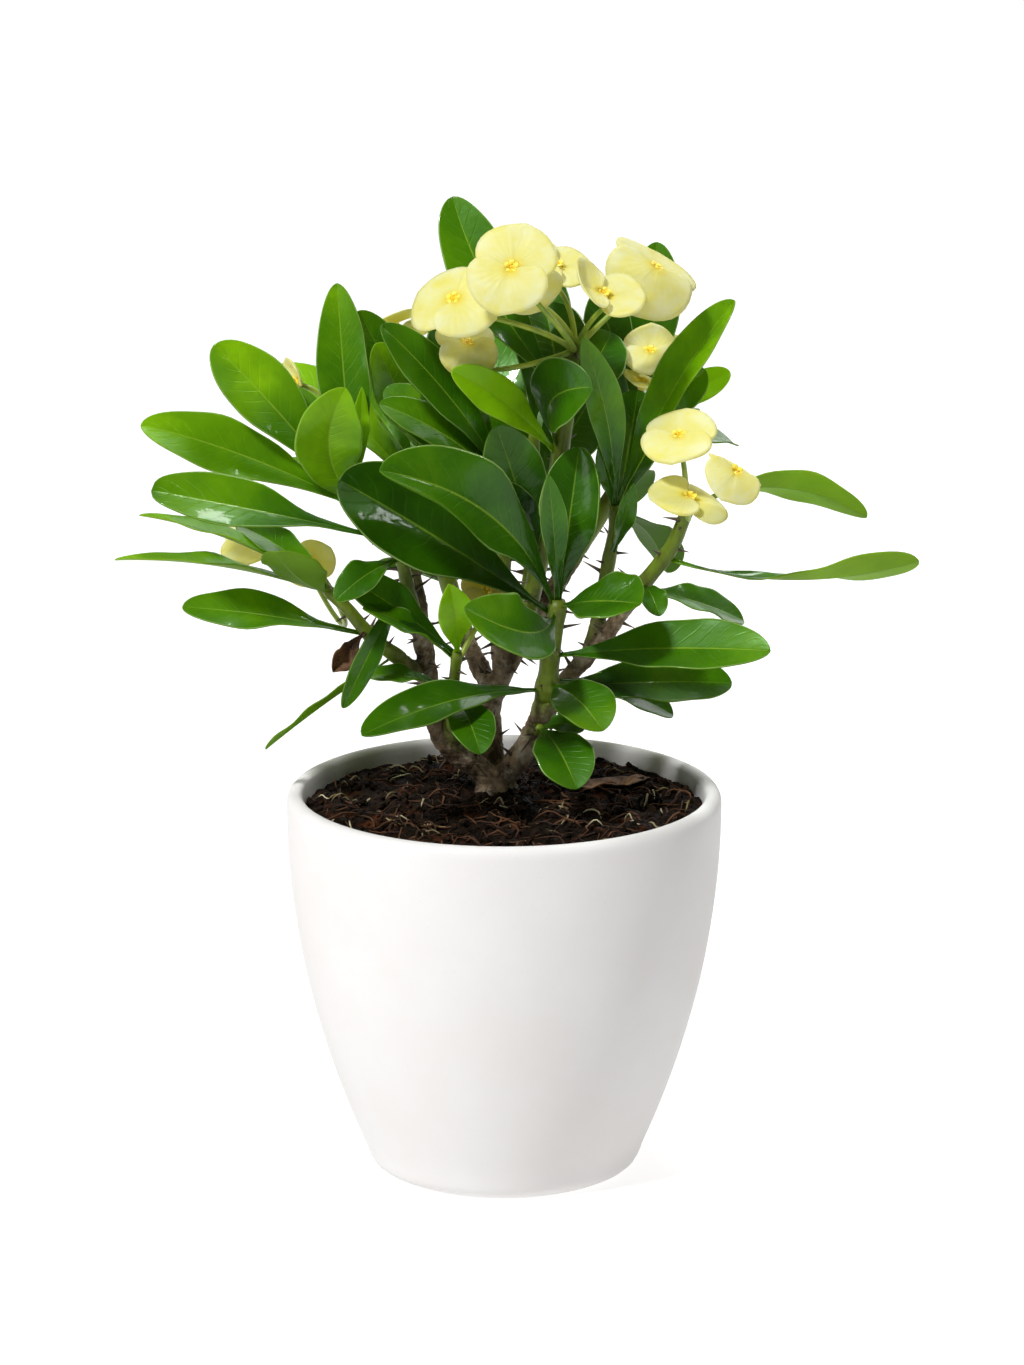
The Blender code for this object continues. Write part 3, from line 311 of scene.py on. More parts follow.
SHOOTS = (
    Shoot("shoot_front", ((-2, 14, 146), (0, 14, 153), (10, 11, 168), (16, 4, 187), (18, 0, 206),
                          (20, -3, 220), (21, -4, 229)), 3, (5.6, 2.9), (
        Leaf(0.92, (-47, -40, 288), 34, (0.6, -0.75, 0.3), 8, 10, wave=1.4, curl=-0.7, tone=Tone.DARK),
        Leaf(0.85, (-63, -20, 280), 38, (0.4, -0.8, 0.45), 3, belly=0.68, round=0.5, tone=Tone.DEEP),
        Leaf(0.88, (-15, -46, 236), 29, (0.1, -0.8, 0.6), 4, -12),
        Leaf(1.00, (17, -14, 281), 11, (0.3, -1.0, 0.0), 2, round=0.9),
        Leaf(1.00, (29, 6, 287), 25, (0.0, -1.0, 0.2), 4, wave=2.0, curl=0.5, tone=Tone.DARK),
        Leaf(0.95, (52, -36, 235), 29, (0.0, -0.6, 0.8), 2),
        Leaf(0.45, (102, -30, 215), 27, (0.0, -0.6, 0.8), 3),
        Leaf(0.12, (89, 10, 192), 26, (0.0, -0.6, 0.85), 2, tone=Tone.DARK),
        Leaf(0.20, (66, 6, 180), 20, (0.2, -0.4, 1.0), 4, tone=Tone.DARK),
        Leaf(0.16, (38, -32, 184), 25, (0.1, -0.6, 0.8), 5),
        Leaf(0.10, (-54, -50, 187), 23, (0.0, -0.45, 1.0), 6, tone=Tone.DARK),
    )),
    Shoot("shoot_centre", ((-3, 17, 147), (-5, 26, 164), (-5, 32, 179), (3, 30, 198), (9, 28, 216),
                           (14, 26, 238), (22, 18, 283), (26, 10, 318), (28, 7, 328)), 4, (5.0, 2.4), (
        Leaf(0.80, (-20, 40, 379), 26, (0.3, -1.0, 0.0), 3, -6, wave=1.2),
        Leaf(0.58, (-20, -14, 321), 17, (0.3, -0.9, 0.4), 1, 3, tone=Tone.LIME),
        Leaf(0.60, (34, -20, 316), 29, (-0.2, -0.8, 0.5), 8, -9, tone=Tone.DARK),
        Leaf(0.74, (16, 40, 337), 28, (0.0, -1.0, 0.2), 3, tone=Tone.DEEP),
        Leaf(0.70, (42, 36, 326), 24, (-0.1, -1.0, 0.3), 3, tone=Tone.DARK),
        Leaf(0.28, (-2, 6, 273), 12, (0.2, -1.0, 0.3), 3, tone=Tone.DEEP),
        Leaf(0.18, (-3, 4, 296), 26, (0.1, -0.9, 0.4), 4, tone=Tone.DARK),
    ), (
        Bloom((-19, -5, 347), (-0.25, -0.65, 0.7), -50, 18, (-14, -8), ((14, -2, 338),)),
        Bloom((-14, 3, 328), (0.1, -0.3, 0.95), -15, 13, (25, -65), ((8, 6, 318), (-8, 5, 315))),
        Bloom((3, -20, 362), (-0.1, -0.75, 0.65), 20, 18, (6, -12), ((24, -20, 338),)),
        Bloom((8, 1, 352), (-0.1, -0.65, 0.65), -25, 14.5, (-8, 6), ((26, 6, 338),)),
        Bloom((20, 25, 355), (0.2, -0.4, 0.8), 80, 14, (10, 4), ((28, 12, 345),)),
        Bloom((38, -10, 350), (0.05, -0.45, 0.88), 84, 15, (5, 48), ((34, 2, 342),)),
        Bloom((58, 12, 356), (0.5, -0.15, 0.85), 10, 20, (5, -72), ((44, 16, 342),)),
    )),
    Shoot("shoot_right", ((14, 9, 176), (24, 13, 192), (38, 14, 208), (50, 12, 226), (64, 6, 246),
                          (69, 3, 258), (72, 2, 267)), 3, (3.9, 2.4), (
        Leaf(0.45, (160, -6, 245), 24, (0.0, -0.1, 1.0), -8, twist=85, belly=0.74, tone=Tone.FRESH),
        Leaf(0.92, (142, 30, 254), 20, (0.2, 0.8, 0.7), 12, tone=Tone.FRESH),
        Leaf(0.10, (94, 26, 213), 20, (0.0, -0.45, 1.0), 2),
        Leaf(0.14, (60, -10, 224), 11, (0.0, -0.5, 1.0), 3, tone=Tone.DARK),
    ), (
        Bloom((67, -11, 295), (-0.1, -0.45, 0.9), 12, 15.5, (4, -4), ((70, 4, 284),)),
        Bloom((71, -21, 273), (0.1, -0.35, 0.93), 75, 15, (-20, 0), ((72, -8, 260),)),
        Bloom((88, -29, 285), (0.45, -0.5, 0.75), 10, 13, (-30, -25), ((98, 0, 278),)),
    )),
    Shoot("shoot_middle_right", ((33, 15, 202), (37, 19, 216), (41, 22, 239), (43, 19, 252),
                                 (43, 16, 262)), 1, (3.4, 2.0), (
        Leaf(0.95, (89, 20, 342), 21, (-0.6, -0.7, 0.3), 2, -3, fold=26, tone=Tone.FRESH),
        Leaf(0.88, (52, 28, 305), 26, (0.1, -1.0, 0.2), 3, tone=Tone.DARK),
        Leaf(1.00, (37, 8, 288), 7, (0.0, -1.0, 0.0), 1, round=0.9),
        Leaf(0.50, (50, 6, 273), 8, (0.3, -1.0, 0.0), 2, round=0.9),
        Leaf(0.92, (30, -2, 332), 15, (0.3, -1.0, 0.0), 3, 3, round=0.8),
    )),
    Shoot("shoot_back_right", ((2, 31, 196), (14, 45, 212), (30, 56, 236), (46, 60, 262), (54, 58, 280),
                               (58, 55, 293)), 2, (4.2, 2.4), (
        Leaf(0.90, (89, 60, 306), 13, (-0.2, -0.9, 0.4), 3, tone=Tone.LIME),
        Leaf(0.96, (79, 42, 310), 18, (0.2, -0.9, 0.4), 3),
        Leaf(0.98, (60, 64, 357), 21, (0.0, -1.0, 0.2), 4, tone=Tone.DARK),
        Leaf(0.80, (36, 58, 338), 24, (0.2, -0.9, 0.3), 4, tone=Tone.DEEP),
        Leaf(0.60, (92, 92, 270), 24, (0.1, -0.3, 1.0), 7),
        Leaf(0.75, (70, 116, 280), 25, (0.1, -0.6, 0.8), 6),
        Leaf(0.45, (50, 112, 240), 24, (0.0, -0.2, 1.0), 8, tone=Tone.DARK),
        Leaf(0.25, (66, 96, 216), 25, (0.1, 0.0, 1.0), 7, tone=Tone.DARK),
        Leaf(0.15, (24, 50, 276), 20, (0.1, -1.0, 0.2), 2, tone=Tone.DARK),
    ), (
        Bloom((57, 38, 318), (0.05, -0.35, 0.93), 0, 12, (35, -12), ((76, 53, 304),)),
        Bloom((54, 36, 306), (0.2, -0.25, 0.93), 60, 9, (0, 20), ((54, 50, 300),)),
        Bloom((66, 92, 306), (0.3, 0.6, 0.8), 40, 15, (-10, 8), ((60, 62, 300),)),
    )),
    Shoot("shoot_middle", ((-1, 31, 190), (-2, 28, 212), (0, 22, 240), (2, 15, 262), (3, 12, 273)), 1,
          (3.8, 2.3), (
        Leaf(0.96, (-47, 0, 336), 21, (0.4, -0.8, 0.5), 3, 2, tone=Tone.DARK),
        Leaf(1.00, (-10, 8, 286), 9, (0.2, -1.0, 0.2), 1, tone=Tone.DEEP),
        Leaf(0.90, (-30, 18, 309), 25, (0.2, -0.9, 0.4), 3, tone=Tone.DARK),
        Leaf(0.86, (-46, 22, 307), 22, (0.2, -0.8, 0.5), 5),
        Leaf(0.92, (-48, 2, 305), 20, (0.2, -0.6, 0.8), 6),
    )),
    Shoot("shoot_back_left", ((-6, 33, 185), (-16, 46, 204), (-26, 54, 236), (-32, 54, 262),
                              (-33, 52, 280)), 1, (4.0, 2.4), (
        Leaf(0.98, (-57, 40, 334), 20, (0.3, -0.8, 0.5), 4),
        Leaf(0.92, (-50, 30, 323), 22, (0.3, -0.9, 0.4), 3, tone=Tone.FRESH),
        Leaf(0.90, (-12, 60, 345), 23, (0.1, -1.0, 0.2), 3, tone=Tone.DARK),
        Leaf(0.70, (-90, 70, 306), 24, (0.1, -0.5, 0.9), 6, tone=Tone.FRESH),
        Leaf(0.80, (-66, 96, 298), 25, (0.1, -0.7, 0.7), 5),
        Leaf(0.50, (-100, 86, 262), 25, (-0.1, 0.0, 1.0), 8),
        Leaf(0.55, (-32, 118, 286), 24, (0.0, -0.4, 0.9), 7),
        Leaf(0.35, (-58, 104, 234), 24, (0.0, 0.1, 1.0), 8, tone=Tone.DARK),
        Leaf(0.25, (-66, 84, 212), 22, (-0.1, 0.0, 1.0), 7),
        Leaf(0.55, (8, 50, 292), 24, (0.0, -0.9, 0.4), 4, tone=Tone.DARK),
    ), (
        Bloom((-44, 82, 319), (-0.2, 0.6, 0.8), 20, 15, (6, -12), ((-36, 62, 300),)),
        Bloom((-20, 78, 300), (0.5, 0.6, 0.6), 70, 14, (12, -4), ((-30, 58, 290),)),
    )),
    Shoot("shoot_back", ((5, 29, 205), (10, 46, 222), (12, 62, 242), (12, 70, 264), (11, 72, 281)), 1,
          (3.8, 2.3), (
        Leaf(0.98, (16, 84, 345), 24, (0.1, -1.0, 0.2), 3, tone=Tone.DARK),
        Leaf(0.85, (44, 102, 320), 24, (0.2, -0.7, 0.6), 5),
        Leaf(0.80, (-14, 114, 318), 24, (-0.1, -0.6, 0.8), 6),
        Leaf(0.60, (20, 130, 282), 25, (0.0, -0.3, 1.0), 8),
        Leaf(0.35, (6, 122, 232), 25, (0.0, 0.0, 1.0), 8, tone=Tone.DARK),
        Leaf(0.62, (37, 63, 299), 26, (-0.1, -1.0, 0.2), 3, tone=Tone.DEEP),
    )),
    Shoot("shoot_left", ((-4, 15, 148), (-10, 13, 157), (-20, 8, 165), (-26, 4, 176), (-29, 4, 191),
                         (-31, 6, 208), (-36, 10, 238), (-42, 12, 249), (-52, 14, 258),
                         (-60, 16, 264)), 6, (5.2, 2.4), (
        Leaf(1.00, (-65, 40, 345), 21, (0.0, -1.0, 0.0), 3, belly=0.56, round=0.62),
        Leaf(0.95, (-112, 18, 325), 27, (0.4, -0.9, 0.3), 4, belly=0.7, tone=Tone.FRESH),
        Leaf(0.85, (-140, 6, 296), 24, (0.2, -0.75, 0.6), 3, 2, wave=1.4, tone=Tone.FRESH),
        Leaf(0.90, (-61, 8, 310), 27, (0.1, -1.0, 0.0), 2, -9, belly=0.58, round=0.7, tone=Tone.LIME),
        Leaf(0.97, (-55, 20, 308), 7, (0.3, -1.0, 0.0), 1, round=0.9, tone=Tone.LIME),
        Leaf(0.92, (-82, 28, 306), 15, (0.2, -0.9, 0.3), 3),
    ), (
        Bloom((-82, 46, 304), (-0.85, -0.2, 0.3), 60, 11, (45, 40), ((-62, 34, 276), (-66, 46, 300))),
    )),
    Shoot("shoot_left_front", ((-30, 5, 200), (-34, -2, 220), (-38, -10, 240), (-41, -16, 257)), 1,
          (3.2, 2.2), (
        Leaf(0.96, (-134, -30, 278), 25, (0.1, -0.6, 0.8), 2, -1, wave=1.6, belly=0.72, round=0.45),
        Leaf(0.50, (-62, -28, 192), 10, (0.3, -0.6, 0.7), 2, twist=40, tone=Tone.DARK),
        Leaf(0.75, (-64, -34, 236), 14, (0.2, -0.5, 0.8), 4, wave=1.6),
    )),
    Shoot("shoot_low_left", ((-29, 4, 194), (-40, -3, 205), (-51, -8, 215), (-61, -8, 227),
                             (-69, -6, 234)), 1, (3.3, 2.2), (
        Leaf(0.98, (-151, 8, 242), 19, (0.0, 0.1, 1.0), 4, tone=Tone.FRESH),
        Leaf(0.95, (-142, 20, 257), 18, (0.0, 0.1, 1.0), 5, tone=Tone.FRESH),
        Leaf(1.00, (-87, -38, 256), 26, (0.0, 0.3, 1.0), -3),
        Leaf(0.42, (-124, -12, 228), 20, (0.1, -0.4, 1.0), 2, twist=25, wave=1.6),
        Leaf(0.85, (-104, 24, 252), 17, (0.0, -0.2, 1.0), 4),
        Leaf(0.08, (-93, 0, 168), 13, (-0.2, 0.25, 1.0), 1),
    ), (
        Bloom((-100, 43, 242), (-0.3, -0.6, 0.7), 10, 13, (-6, 5), ((-80, 16, 250), (-84, 46, 244))),
        Bloom((-77, 36, 234), (0.0, -0.8, 0.5), 50, 10, (-6, 5), ((-56, 10, 206), (-66, 44, 204))),
    )),
    Shoot("shoot_low_middle", ((-20, 8, 166), (-20, 1, 176), (-20, -7, 190), (-18, -18, 212)), 1,
          (3.0, 2.0), (
        Leaf(1.00, (-21, -32, 242), 15, (0.3, -0.9, 0.2), 3, round=0.9, tone=Tone.LIME),
        Leaf(0.35, (-9, -44, 178), 19, (0.1, -0.6, 0.8), 6, tone=Tone.DARK),
        Leaf(0.55, (-55, -13, 201), 12, (0.0, -0.3, 1.0), 2),
        Leaf(0.96, (-62, -22, 243), 18, (0.1, -0.7, 0.7), 3, tone=Tone.DARK),
        Leaf(0.90, (-54, -30, 232), 12, (0.0, -0.4, 0.9), 3, wave=1.4),
    ), (
        Bloom((-6, -3, 232), (-0.1, -0.45, 0.85), 0, 12, (30, -30), ((-15, -8, 216),)),
    )),
    Shoot("sprout", ((12, 8, 172), (13, 0, 175), (14, -4, 178)), 1, (1.6, 1.4), (
        Leaf(0.95, (28, -40, 163), 24, (0.1, -0.7, 0.7), 5, tone=Tone.DARK),
        Leaf(0.80, (31, -12, 179), 13, (0.0, -0.5, 0.9), 3, tone=Tone.DARK),
    )),
)


class Recipe:
    """A new material and short ways to add nodes to it."""

    def __init__(self, name: str) -> None:
        """Starts a material with one Principled shader.

        Args:
            name: The material's name.
        """
        self.material = bpy.data.materials.new(name)
        self.material.use_nodes = True
        self.tree = self.material.node_tree
        self.shader = self.tree.nodes["Principled BSDF"]
        self.output = self.tree.nodes["Material Output"]

    def node(self, kind: str, **inputs: object) -> bpy.types.Node:
        """A node of this kind, with named inputs set or linked."""
        made = self.tree.nodes.new(kind)
        for key, value in inputs.items():
            self.feed(made.inputs[key.replace("_", " ")], value)
        return made

    def feed(self, socket: bpy.types.NodeSocket, value: object) -> None:
        """Links an output to the socket, or sets the socket to a number or colour."""
        if isinstance(value, bpy.types.NodeSocket):
            self.tree.links.new(value, socket)
        elif isinstance(value, tuple) and len(value) == 3 and socket.type == "RGBA":
            socket.default_value = (*value, 1.0)
        else:
            socket.default_value = value

    def finish(self, **inputs: object) -> bpy.types.Material:
        """Sets or links inputs of the shader and gives the material."""
        for key, value in inputs.items():
            self.feed(self.shader.inputs[key.replace("_", " ")], value)
        return self.material

    def place(self) -> bpy.types.NodeSocket:
        """Object coordinates."""
        return self.node("ShaderNodeTexCoord").outputs["Object"]

    def stretched(self, scale: tuple) -> bpy.types.NodeSocket:
        """Object coordinates times a scale."""
        return self.node("ShaderNodeMapping", Vector=self.place(), Scale=scale).outputs[0]

    def mark(self, name: str) -> bpy.types.NodeSocket:
        """A number that the mesh carries under this name."""
        made = self.node("ShaderNodeAttribute")
        made.attribute_name = name
        return made.outputs["Fac"]

    def blade(self) -> tuple[bpy.types.NodeSocket, bpy.types.NodeSocket]:
        """How far a point lies along its blade, and how far out from its midrib."""
        made = self.node("ShaderNodeUVMap")
        made.uv_map = "blade"
        parts = self.node("ShaderNodeSeparateXYZ", Vector=made.outputs[0])
        across = self.maths("MULTIPLY_ADD", parts.outputs["X"], 2.0, -1.0)
        return parts.outputs["Y"], self.maths("ABSOLUTE", across)

    def maths(self, operation: str, *values: object) -> bpy.types.NodeSocket:
        """The result of a Math node."""
        made = self.tree.nodes.new("ShaderNodeMath")
        made.operation = operation
        for socket, value in zip(made.inputs, values):
            self.feed(socket, value)
        return made.outputs[0]

    def band(self, value: object, low: float, high: float, start: float = 0.0,
             end: float = 1.0) -> bpy.types.NodeSocket:
        """The value's range from low to high, moved to start and end and held there."""
        made = self.node("ShaderNodeMapRange")
        for index, entry in enumerate((value, low, high, start, end)):
            self.feed(made.inputs[index], entry)
        return made.outputs[0]

    def noise(self, scale: float, detail: float = 3.0, roughness: float = 0.5,
              where: object = None) -> bpy.types.NodeSocket:
        """A noise over Object coordinates, or over the coordinates given."""
        return self.node("ShaderNodeTexNoise", Vector=where or self.place(), Scale=scale, Detail=detail,
                         Roughness=roughness).outputs[0]

    def cells(self, scale: float, where: object = None) -> bpy.types.NodeSocket:
        """Distance to the nearest of many scattered points."""
        return self.node("ShaderNodeTexVoronoi", Vector=where or self.place(), Scale=scale).outputs[0]

    def blend(self, share: object, first: object, second: object) -> bpy.types.NodeSocket:
        """A mix of two colours."""
        made = self.tree.nodes.new("ShaderNodeMix")
        made.data_type = "RGBA"
        self.feed(made.inputs[0], share)
        self.feed(made.inputs[6], first)
        self.feed(made.inputs[7], second)
        return made.outputs[2]

    def ramp(self, share: object, stops: tuple) -> bpy.types.NodeSocket:
        """A colour ramp through stops of place and colour."""
        made = self.node("ShaderNodeValToRGB", Fac=share)
        entries = made.color_ramp.elements
        while len(entries) < len(stops):
            entries.new(0.5)
        for entry, (place, colour) in zip(entries, stops):
            entry.position = place
            entry.color = (*colour, 1.0)
        return made.outputs[0]

    def bump(self, height: object, depth: float, under: object = None) -> bpy.types.NodeSocket:
        """A normal that follows a height of 0 to 1, with its depth in millimetres."""
        made = self.node("ShaderNodeBump", Height=height, Distance=depth * MM, Strength=1.0)
        if under is not None:
            self.feed(made.inputs["Normal"], under)
        return made.outputs[0]

    def lit_through(self, share: object, colour: object, normal: object = None) -> None:
        """Mixes in light that comes through the thin piece from behind."""
        glow = self.node("ShaderNodeBsdfTranslucent", Color=colour)
        if normal is not None:
            self.feed(glow.inputs["Normal"], normal)
        mix = self.tree.nodes.new("ShaderNodeMixShader")
        self.feed(mix.inputs[0], share)
        self.tree.links.new(self.shader.outputs[0], mix.inputs[1])
        self.tree.links.new(glow.outputs[0], mix.inputs[2])
        self.tree.links.new(mix.outputs[0], self.output.inputs[0])


@dataclass(frozen=True)
class CeramicFinish:
    """Matte white glaze with a faint warm mottle and a fine orange-peel skin."""
    white: tuple = (0.765, 0.755, 0.75)
    warm: tuple = (0.735, 0.715, 0.70)
    roughness: float = 0.6

    def material(self) -> bpy.types.Material:
        """The glaze's material."""
        mix = Recipe("matte_glaze")
        mottle = mix.noise(22.0, 4.0, 0.55)
        speck = mix.band(mix.noise(900.0, 2.0), 0.66, 0.76)
        colour = mix.blend(mix.band(mottle, 0.35, 0.7), self.white, self.warm)
        colour = mix.blend(mix.maths("MULTIPLY", speck, 0.10), colour, (0.45, 0.43, 0.40))
        rough = mix.band(mottle, 0.3, 0.7, self.roughness - 0.06, self.roughness + 0.08)
        skin = mix.bump(mix.noise(420.0, 2.0), 0.06, mix.bump(mottle, 0.25))
        return mix.finish(Base_Color=colour, Roughness=rough, Normal=skin, Specular_IOR_Level=0.15)


@dataclass(frozen=True)
class SoilFinish:
    """Dark, damp potting mix."""
    name: str = "damp_mix"
    dark: tuple = (0.0030, 0.0018, 0.0010)
    light: tuple = (0.021, 0.011, 0.0055)
    red: tuple = (0.070, 0.022, 0.008)
    roughness: float = 0.9

    def material(self) -> bpy.types.Material:
        """The mix's material, lighter or redder by the copy's own shade."""
        mix = Recipe(self.name)
        grain = mix.noise(420.0, 6.0, 0.7)
        colour = mix.blend(mix.band(grain, 0.42, 0.68), self.dark, self.light)
        colour = mix.blend(mix.band(mix.noise(95.0, 3.0), 0.55, 0.7), colour, self.red)
        shade = mix.mark("tone")
        colour = mix.blend(shade, colour, self.light)
        damp = mix.band(mix.noise(60.0), 0.4, 0.65, self.roughness, self.roughness - 0.3)
        return mix.finish(Base_Color=colour, Roughness=damp, Specular_IOR_Level=0.08,
                          Normal=mix.bump(grain, 0.7))


@dataclass(frozen=True)
class FibreFinish:
    """Dead plant fibre in one of a few shades."""
    name: str
    dark: tuple
    light: tuple
    roughness: float = 0.75

    def material(self) -> bpy.types.Material:
        """The fibre's material, from dark to light by the copy's own shade."""
        mix = Recipe(self.name)
        shade = mix.maths("ADD", mix.mark("tone"), mix.band(mix.noise(300.0), 0.3, 0.7, -0.25, 0.25))
        colour = mix.blend(mix.band(shade, 0.0, 1.0), self.dark, self.light)
        return mix.finish(Base_Color=colour, Roughness=self.roughness, Specular_IOR_Level=0.3,
                          Normal=mix.bump(mix.noise(900.0, 3.0), 0.2))


@dataclass(frozen=True)
class BarkFinish:
    """Grey-brown bark that turns to a green stem where the mark says so."""
    brown: tuple = (0.220, 0.158, 0.092)
    dark: tuple = (0.050, 0.030, 0.015)
    grey: tuple = (0.44, 0.38, 0.29)
    olive: tuple = (0.080, 0.105, 0.008)
    green: tuple = (0.135, 0.205, 0.010)

    def material(self) -> bpy.types.Material:
        """The bark's material."""
        mix = Recipe("bark_to_green")
        cracks = mix.noise(190.0, 6.0, 0.65, mix.stretched((1.0, 1.0, 0.45)))
        rings = mix.noise(160.0, 3.0, 0.6, mix.stretched((0.5, 0.5, 2.6)))
        bark = mix.blend(mix.band(cracks, 0.38, 0.60), self.dark, self.brown)
        bark = mix.blend(mix.band(mix.noise(90.0, 6.0, 0.7), 0.50, 0.68), bark, self.grey)
        young = mix.blend(mix.band(cracks, 0.35, 0.65), self.olive, self.green)
        age = mix.maths("ADD", mix.mark("green"), mix.band(mix.noise(75.0, 4.0), 0.3, 0.7, -0.16, 0.16))
        colour = mix.blend(mix.band(age, 0.34, 0.66), bark, young)
        rough = mix.band(age, 0.3, 0.8, 0.82, 0.42)
        depth = mix.maths("MULTIPLY", mix.maths("ADD", cracks, rings), mix.band(age, 0.3, 0.9, 0.9, 0.15))
        return mix.finish(Base_Color=colour, Roughness=rough, Specular_IOR_Level=0.3,
                          Normal=mix.bump(depth, 1.0))


@dataclass(frozen=True)
class ThornFinish:
    """Dry brown thorns with greyer tips."""
    root: tuple = (0.060, 0.045, 0.018)
    tip: tuple = (0.085, 0.055, 0.035)

    def material(self) -> bpy.types.Material:
        """The thorns' material, from root to tip by the blade coordinate."""
        mix = Recipe("thorn_brown")
        along, _ = mix.blade()
        colour = mix.blend(mix.band(along, 0.1, 0.9), self.root, self.tip)
        return mix.finish(Base_Color=colour, Roughness=0.55, Normal=mix.bump(mix.noise(700.0), 0.1))


@dataclass(frozen=True)
class LeafFinish:
    """The glossy upper side of a leaf: greens by tone, a pale midrib, faint veins, painted shade towards the foot,
    painted patches of light and a thin pale edge that is a painted highlight.
    """
    greens: tuple = ((0.0, (0.006, 0.032, 0.0006)), (0.28, (0.024, 0.100, 0.0008)),
                     (0.50, (0.056, 0.180, 0.0010)), (0.72, (0.145, 0.325, 0.0025)),
                     (0.95, (0.430, 0.760, 0.0100)))
    rib: tuple = (0.42, 0.60, 0.06)
    # A painted highlight: the pale line along the margin where light catches its rounded edge.
    edge: tuple = (0.48, 0.64, 0.22)
    sheen: tuple = (0.62, 1.0, 0.55)
    roughness: float = 0.28

    def veins(self, mix: Recipe) -> tuple[bpy.types.NodeSocket, bpy.types.NodeSocket]:
        """Masks of the midrib and of the side veins."""
        along, out = mix.blade()
        width = mix.band(along, 0.0, 1.0, 0.075, 0.018)
        rib = mix.maths("SUBTRACT", 1.0, mix.maths("DIVIDE", out, width))
        rib = mix.band(rib, 0.0, 0.55)
        rise = mix.maths("MULTIPLY_ADD", along, 15.0, mix.maths("MULTIPLY", out, -2.1))
        wander = mix.maths("MULTIPLY", mix.noise(55.0, 2.0), 1.4)
        line = mix.maths("SINE", mix.maths("MULTIPLY", mix.maths("ADD", rise, wander), math.tau))
        return rib, mix.maths("MULTIPLY", mix.band(line, 0.86, 1.0), mix.band(out, 0.92, 0.15))

    def material(self) -> bpy.types.Material:
        """The upper side's material."""
        mix = Recipe("leaf_upper")
        rib, vein = self.veins(mix)
        along, out = mix.blade()
        mottle = mix.noise(48.0, 4.0, 0.55)
        tone = mix.maths("ADD", mix.mark("tone"), mix.band(mottle, 0.3, 0.7, -0.12, 0.12))
        # Painted shade: darker towards the foot, lighter towards the tip.
        tone = mix.maths("ADD", tone, mix.band(along, 0.15, 0.95, -0.19, 0.12))
        # Painted light: broad lighter patches where light comes through the blade.
        tone = mix.maths("ADD", tone, mix.band(mix.noise(19.0, 2.0), 0.42, 0.62, -0.07, 0.17))
        tone = mix.maths("MULTIPLY_ADD", vein, 0.05, tone)
        colour = mix.ramp(tone, self.greens)
        lighter = mix.blend(0.5, colour, self.rib)
        colour = mix.blend(mix.maths("MULTIPLY", rib, mix.band(tone, 0.0, 0.5, 0.4, 0.95)), colour, lighter)
        # The painted highlight along the margin.
        rim = mix.band(out, 0.955, 0.99)
        colour = mix.blend(mix.maths("MULTIPLY", rim, 0.6), colour, self.edge)
        relief = mix.maths("ADD", mix.maths("MULTIPLY", vein, -0.22), mottle)
        skin = mix.bump(relief, 0.6, mix.bump(mix.noise(900.0, 2.0), 0.02))
        rough = mix.band(mix.noise(30.0, 3.0), 0.3, 0.7, self.roughness - 0.04, self.roughness + 0.10)
        through = mix.blend(0.5, colour, (0.56, 0.92, 0.004))
        mix.lit_through(mix.band(tone, 0.4, 1.0, 0.22, 0.62), through)
        return mix.finish(Base_Color=colour, Roughness=rough, Normal=skin, Specular_IOR_Level=0.42,
                          Specular_Tint=self.sheen, Coat_Weight=0.28, Coat_Roughness=0.06,
                          Coat_Normal=mix.bump(mottle, 0.35), Coat_Tint=(0.9, 1.0, 0.88))


@dataclass(frozen=True)
class UndersideFinish:
    """The dull, lighter lower side of a leaf, with a raised pale midrib."""
    greens: tuple = ((0.0, (0.045, 0.110, 0.008)), (0.35, (0.100, 0.210, 0.012)),
                     (0.60, (0.200, 0.340, 0.020)), (1.0, (0.420, 0.580, 0.040)))
    rib: tuple = (0.30, 0.44, 0.13)

    def material(self) -> bpy.types.Material:
        """The lower side's material."""
        mix = Recipe("leaf_under")
        rib, vein = LeafFinish().veins(mix)
        tone = mix.maths("ADD", mix.mark("tone"), mix.band(mix.noise(60.0, 4.0), 0.3, 0.7, -0.08, 0.08))
        colour = mix.ramp(mix.maths("MULTIPLY_ADD", vein, 0.08, tone), self.greens)
        colour = mix.blend(rib, colour, self.rib)
        relief = mix.maths("MULTIPLY_ADD", rib, 1.0, mix.maths("MULTIPLY", vein, 0.3))
        mix.lit_through(0.48, mix.blend(0.6, colour, (0.56, 0.84, 0.02)))
        return mix.finish(Base_Color=colour, Roughness=0.5, Normal=mix.bump(relief, 0.5),
                          Specular_IOR_Level=0.3, Specular_Tint=LeafFinish.sheen)


@dataclass(frozen=True)
class StalkFinish:
    """Smooth yellow-green flower stalks."""
    green: tuple = (0.17, 0.27, 0.015)
    light: tuple = (0.34, 0.42, 0.04)

    def material(self) -> bpy.types.Material:
        """The stalks' material."""
        mix = Recipe("stalk_green")
        colour = mix.blend(mix.band(mix.noise(90.0, 3.0), 0.35, 0.65), self.green, self.light)
        return mix.finish(Base_Color=colour, Roughness=0.42, Normal=mix.bump(mix.noise(500.0), 0.1))


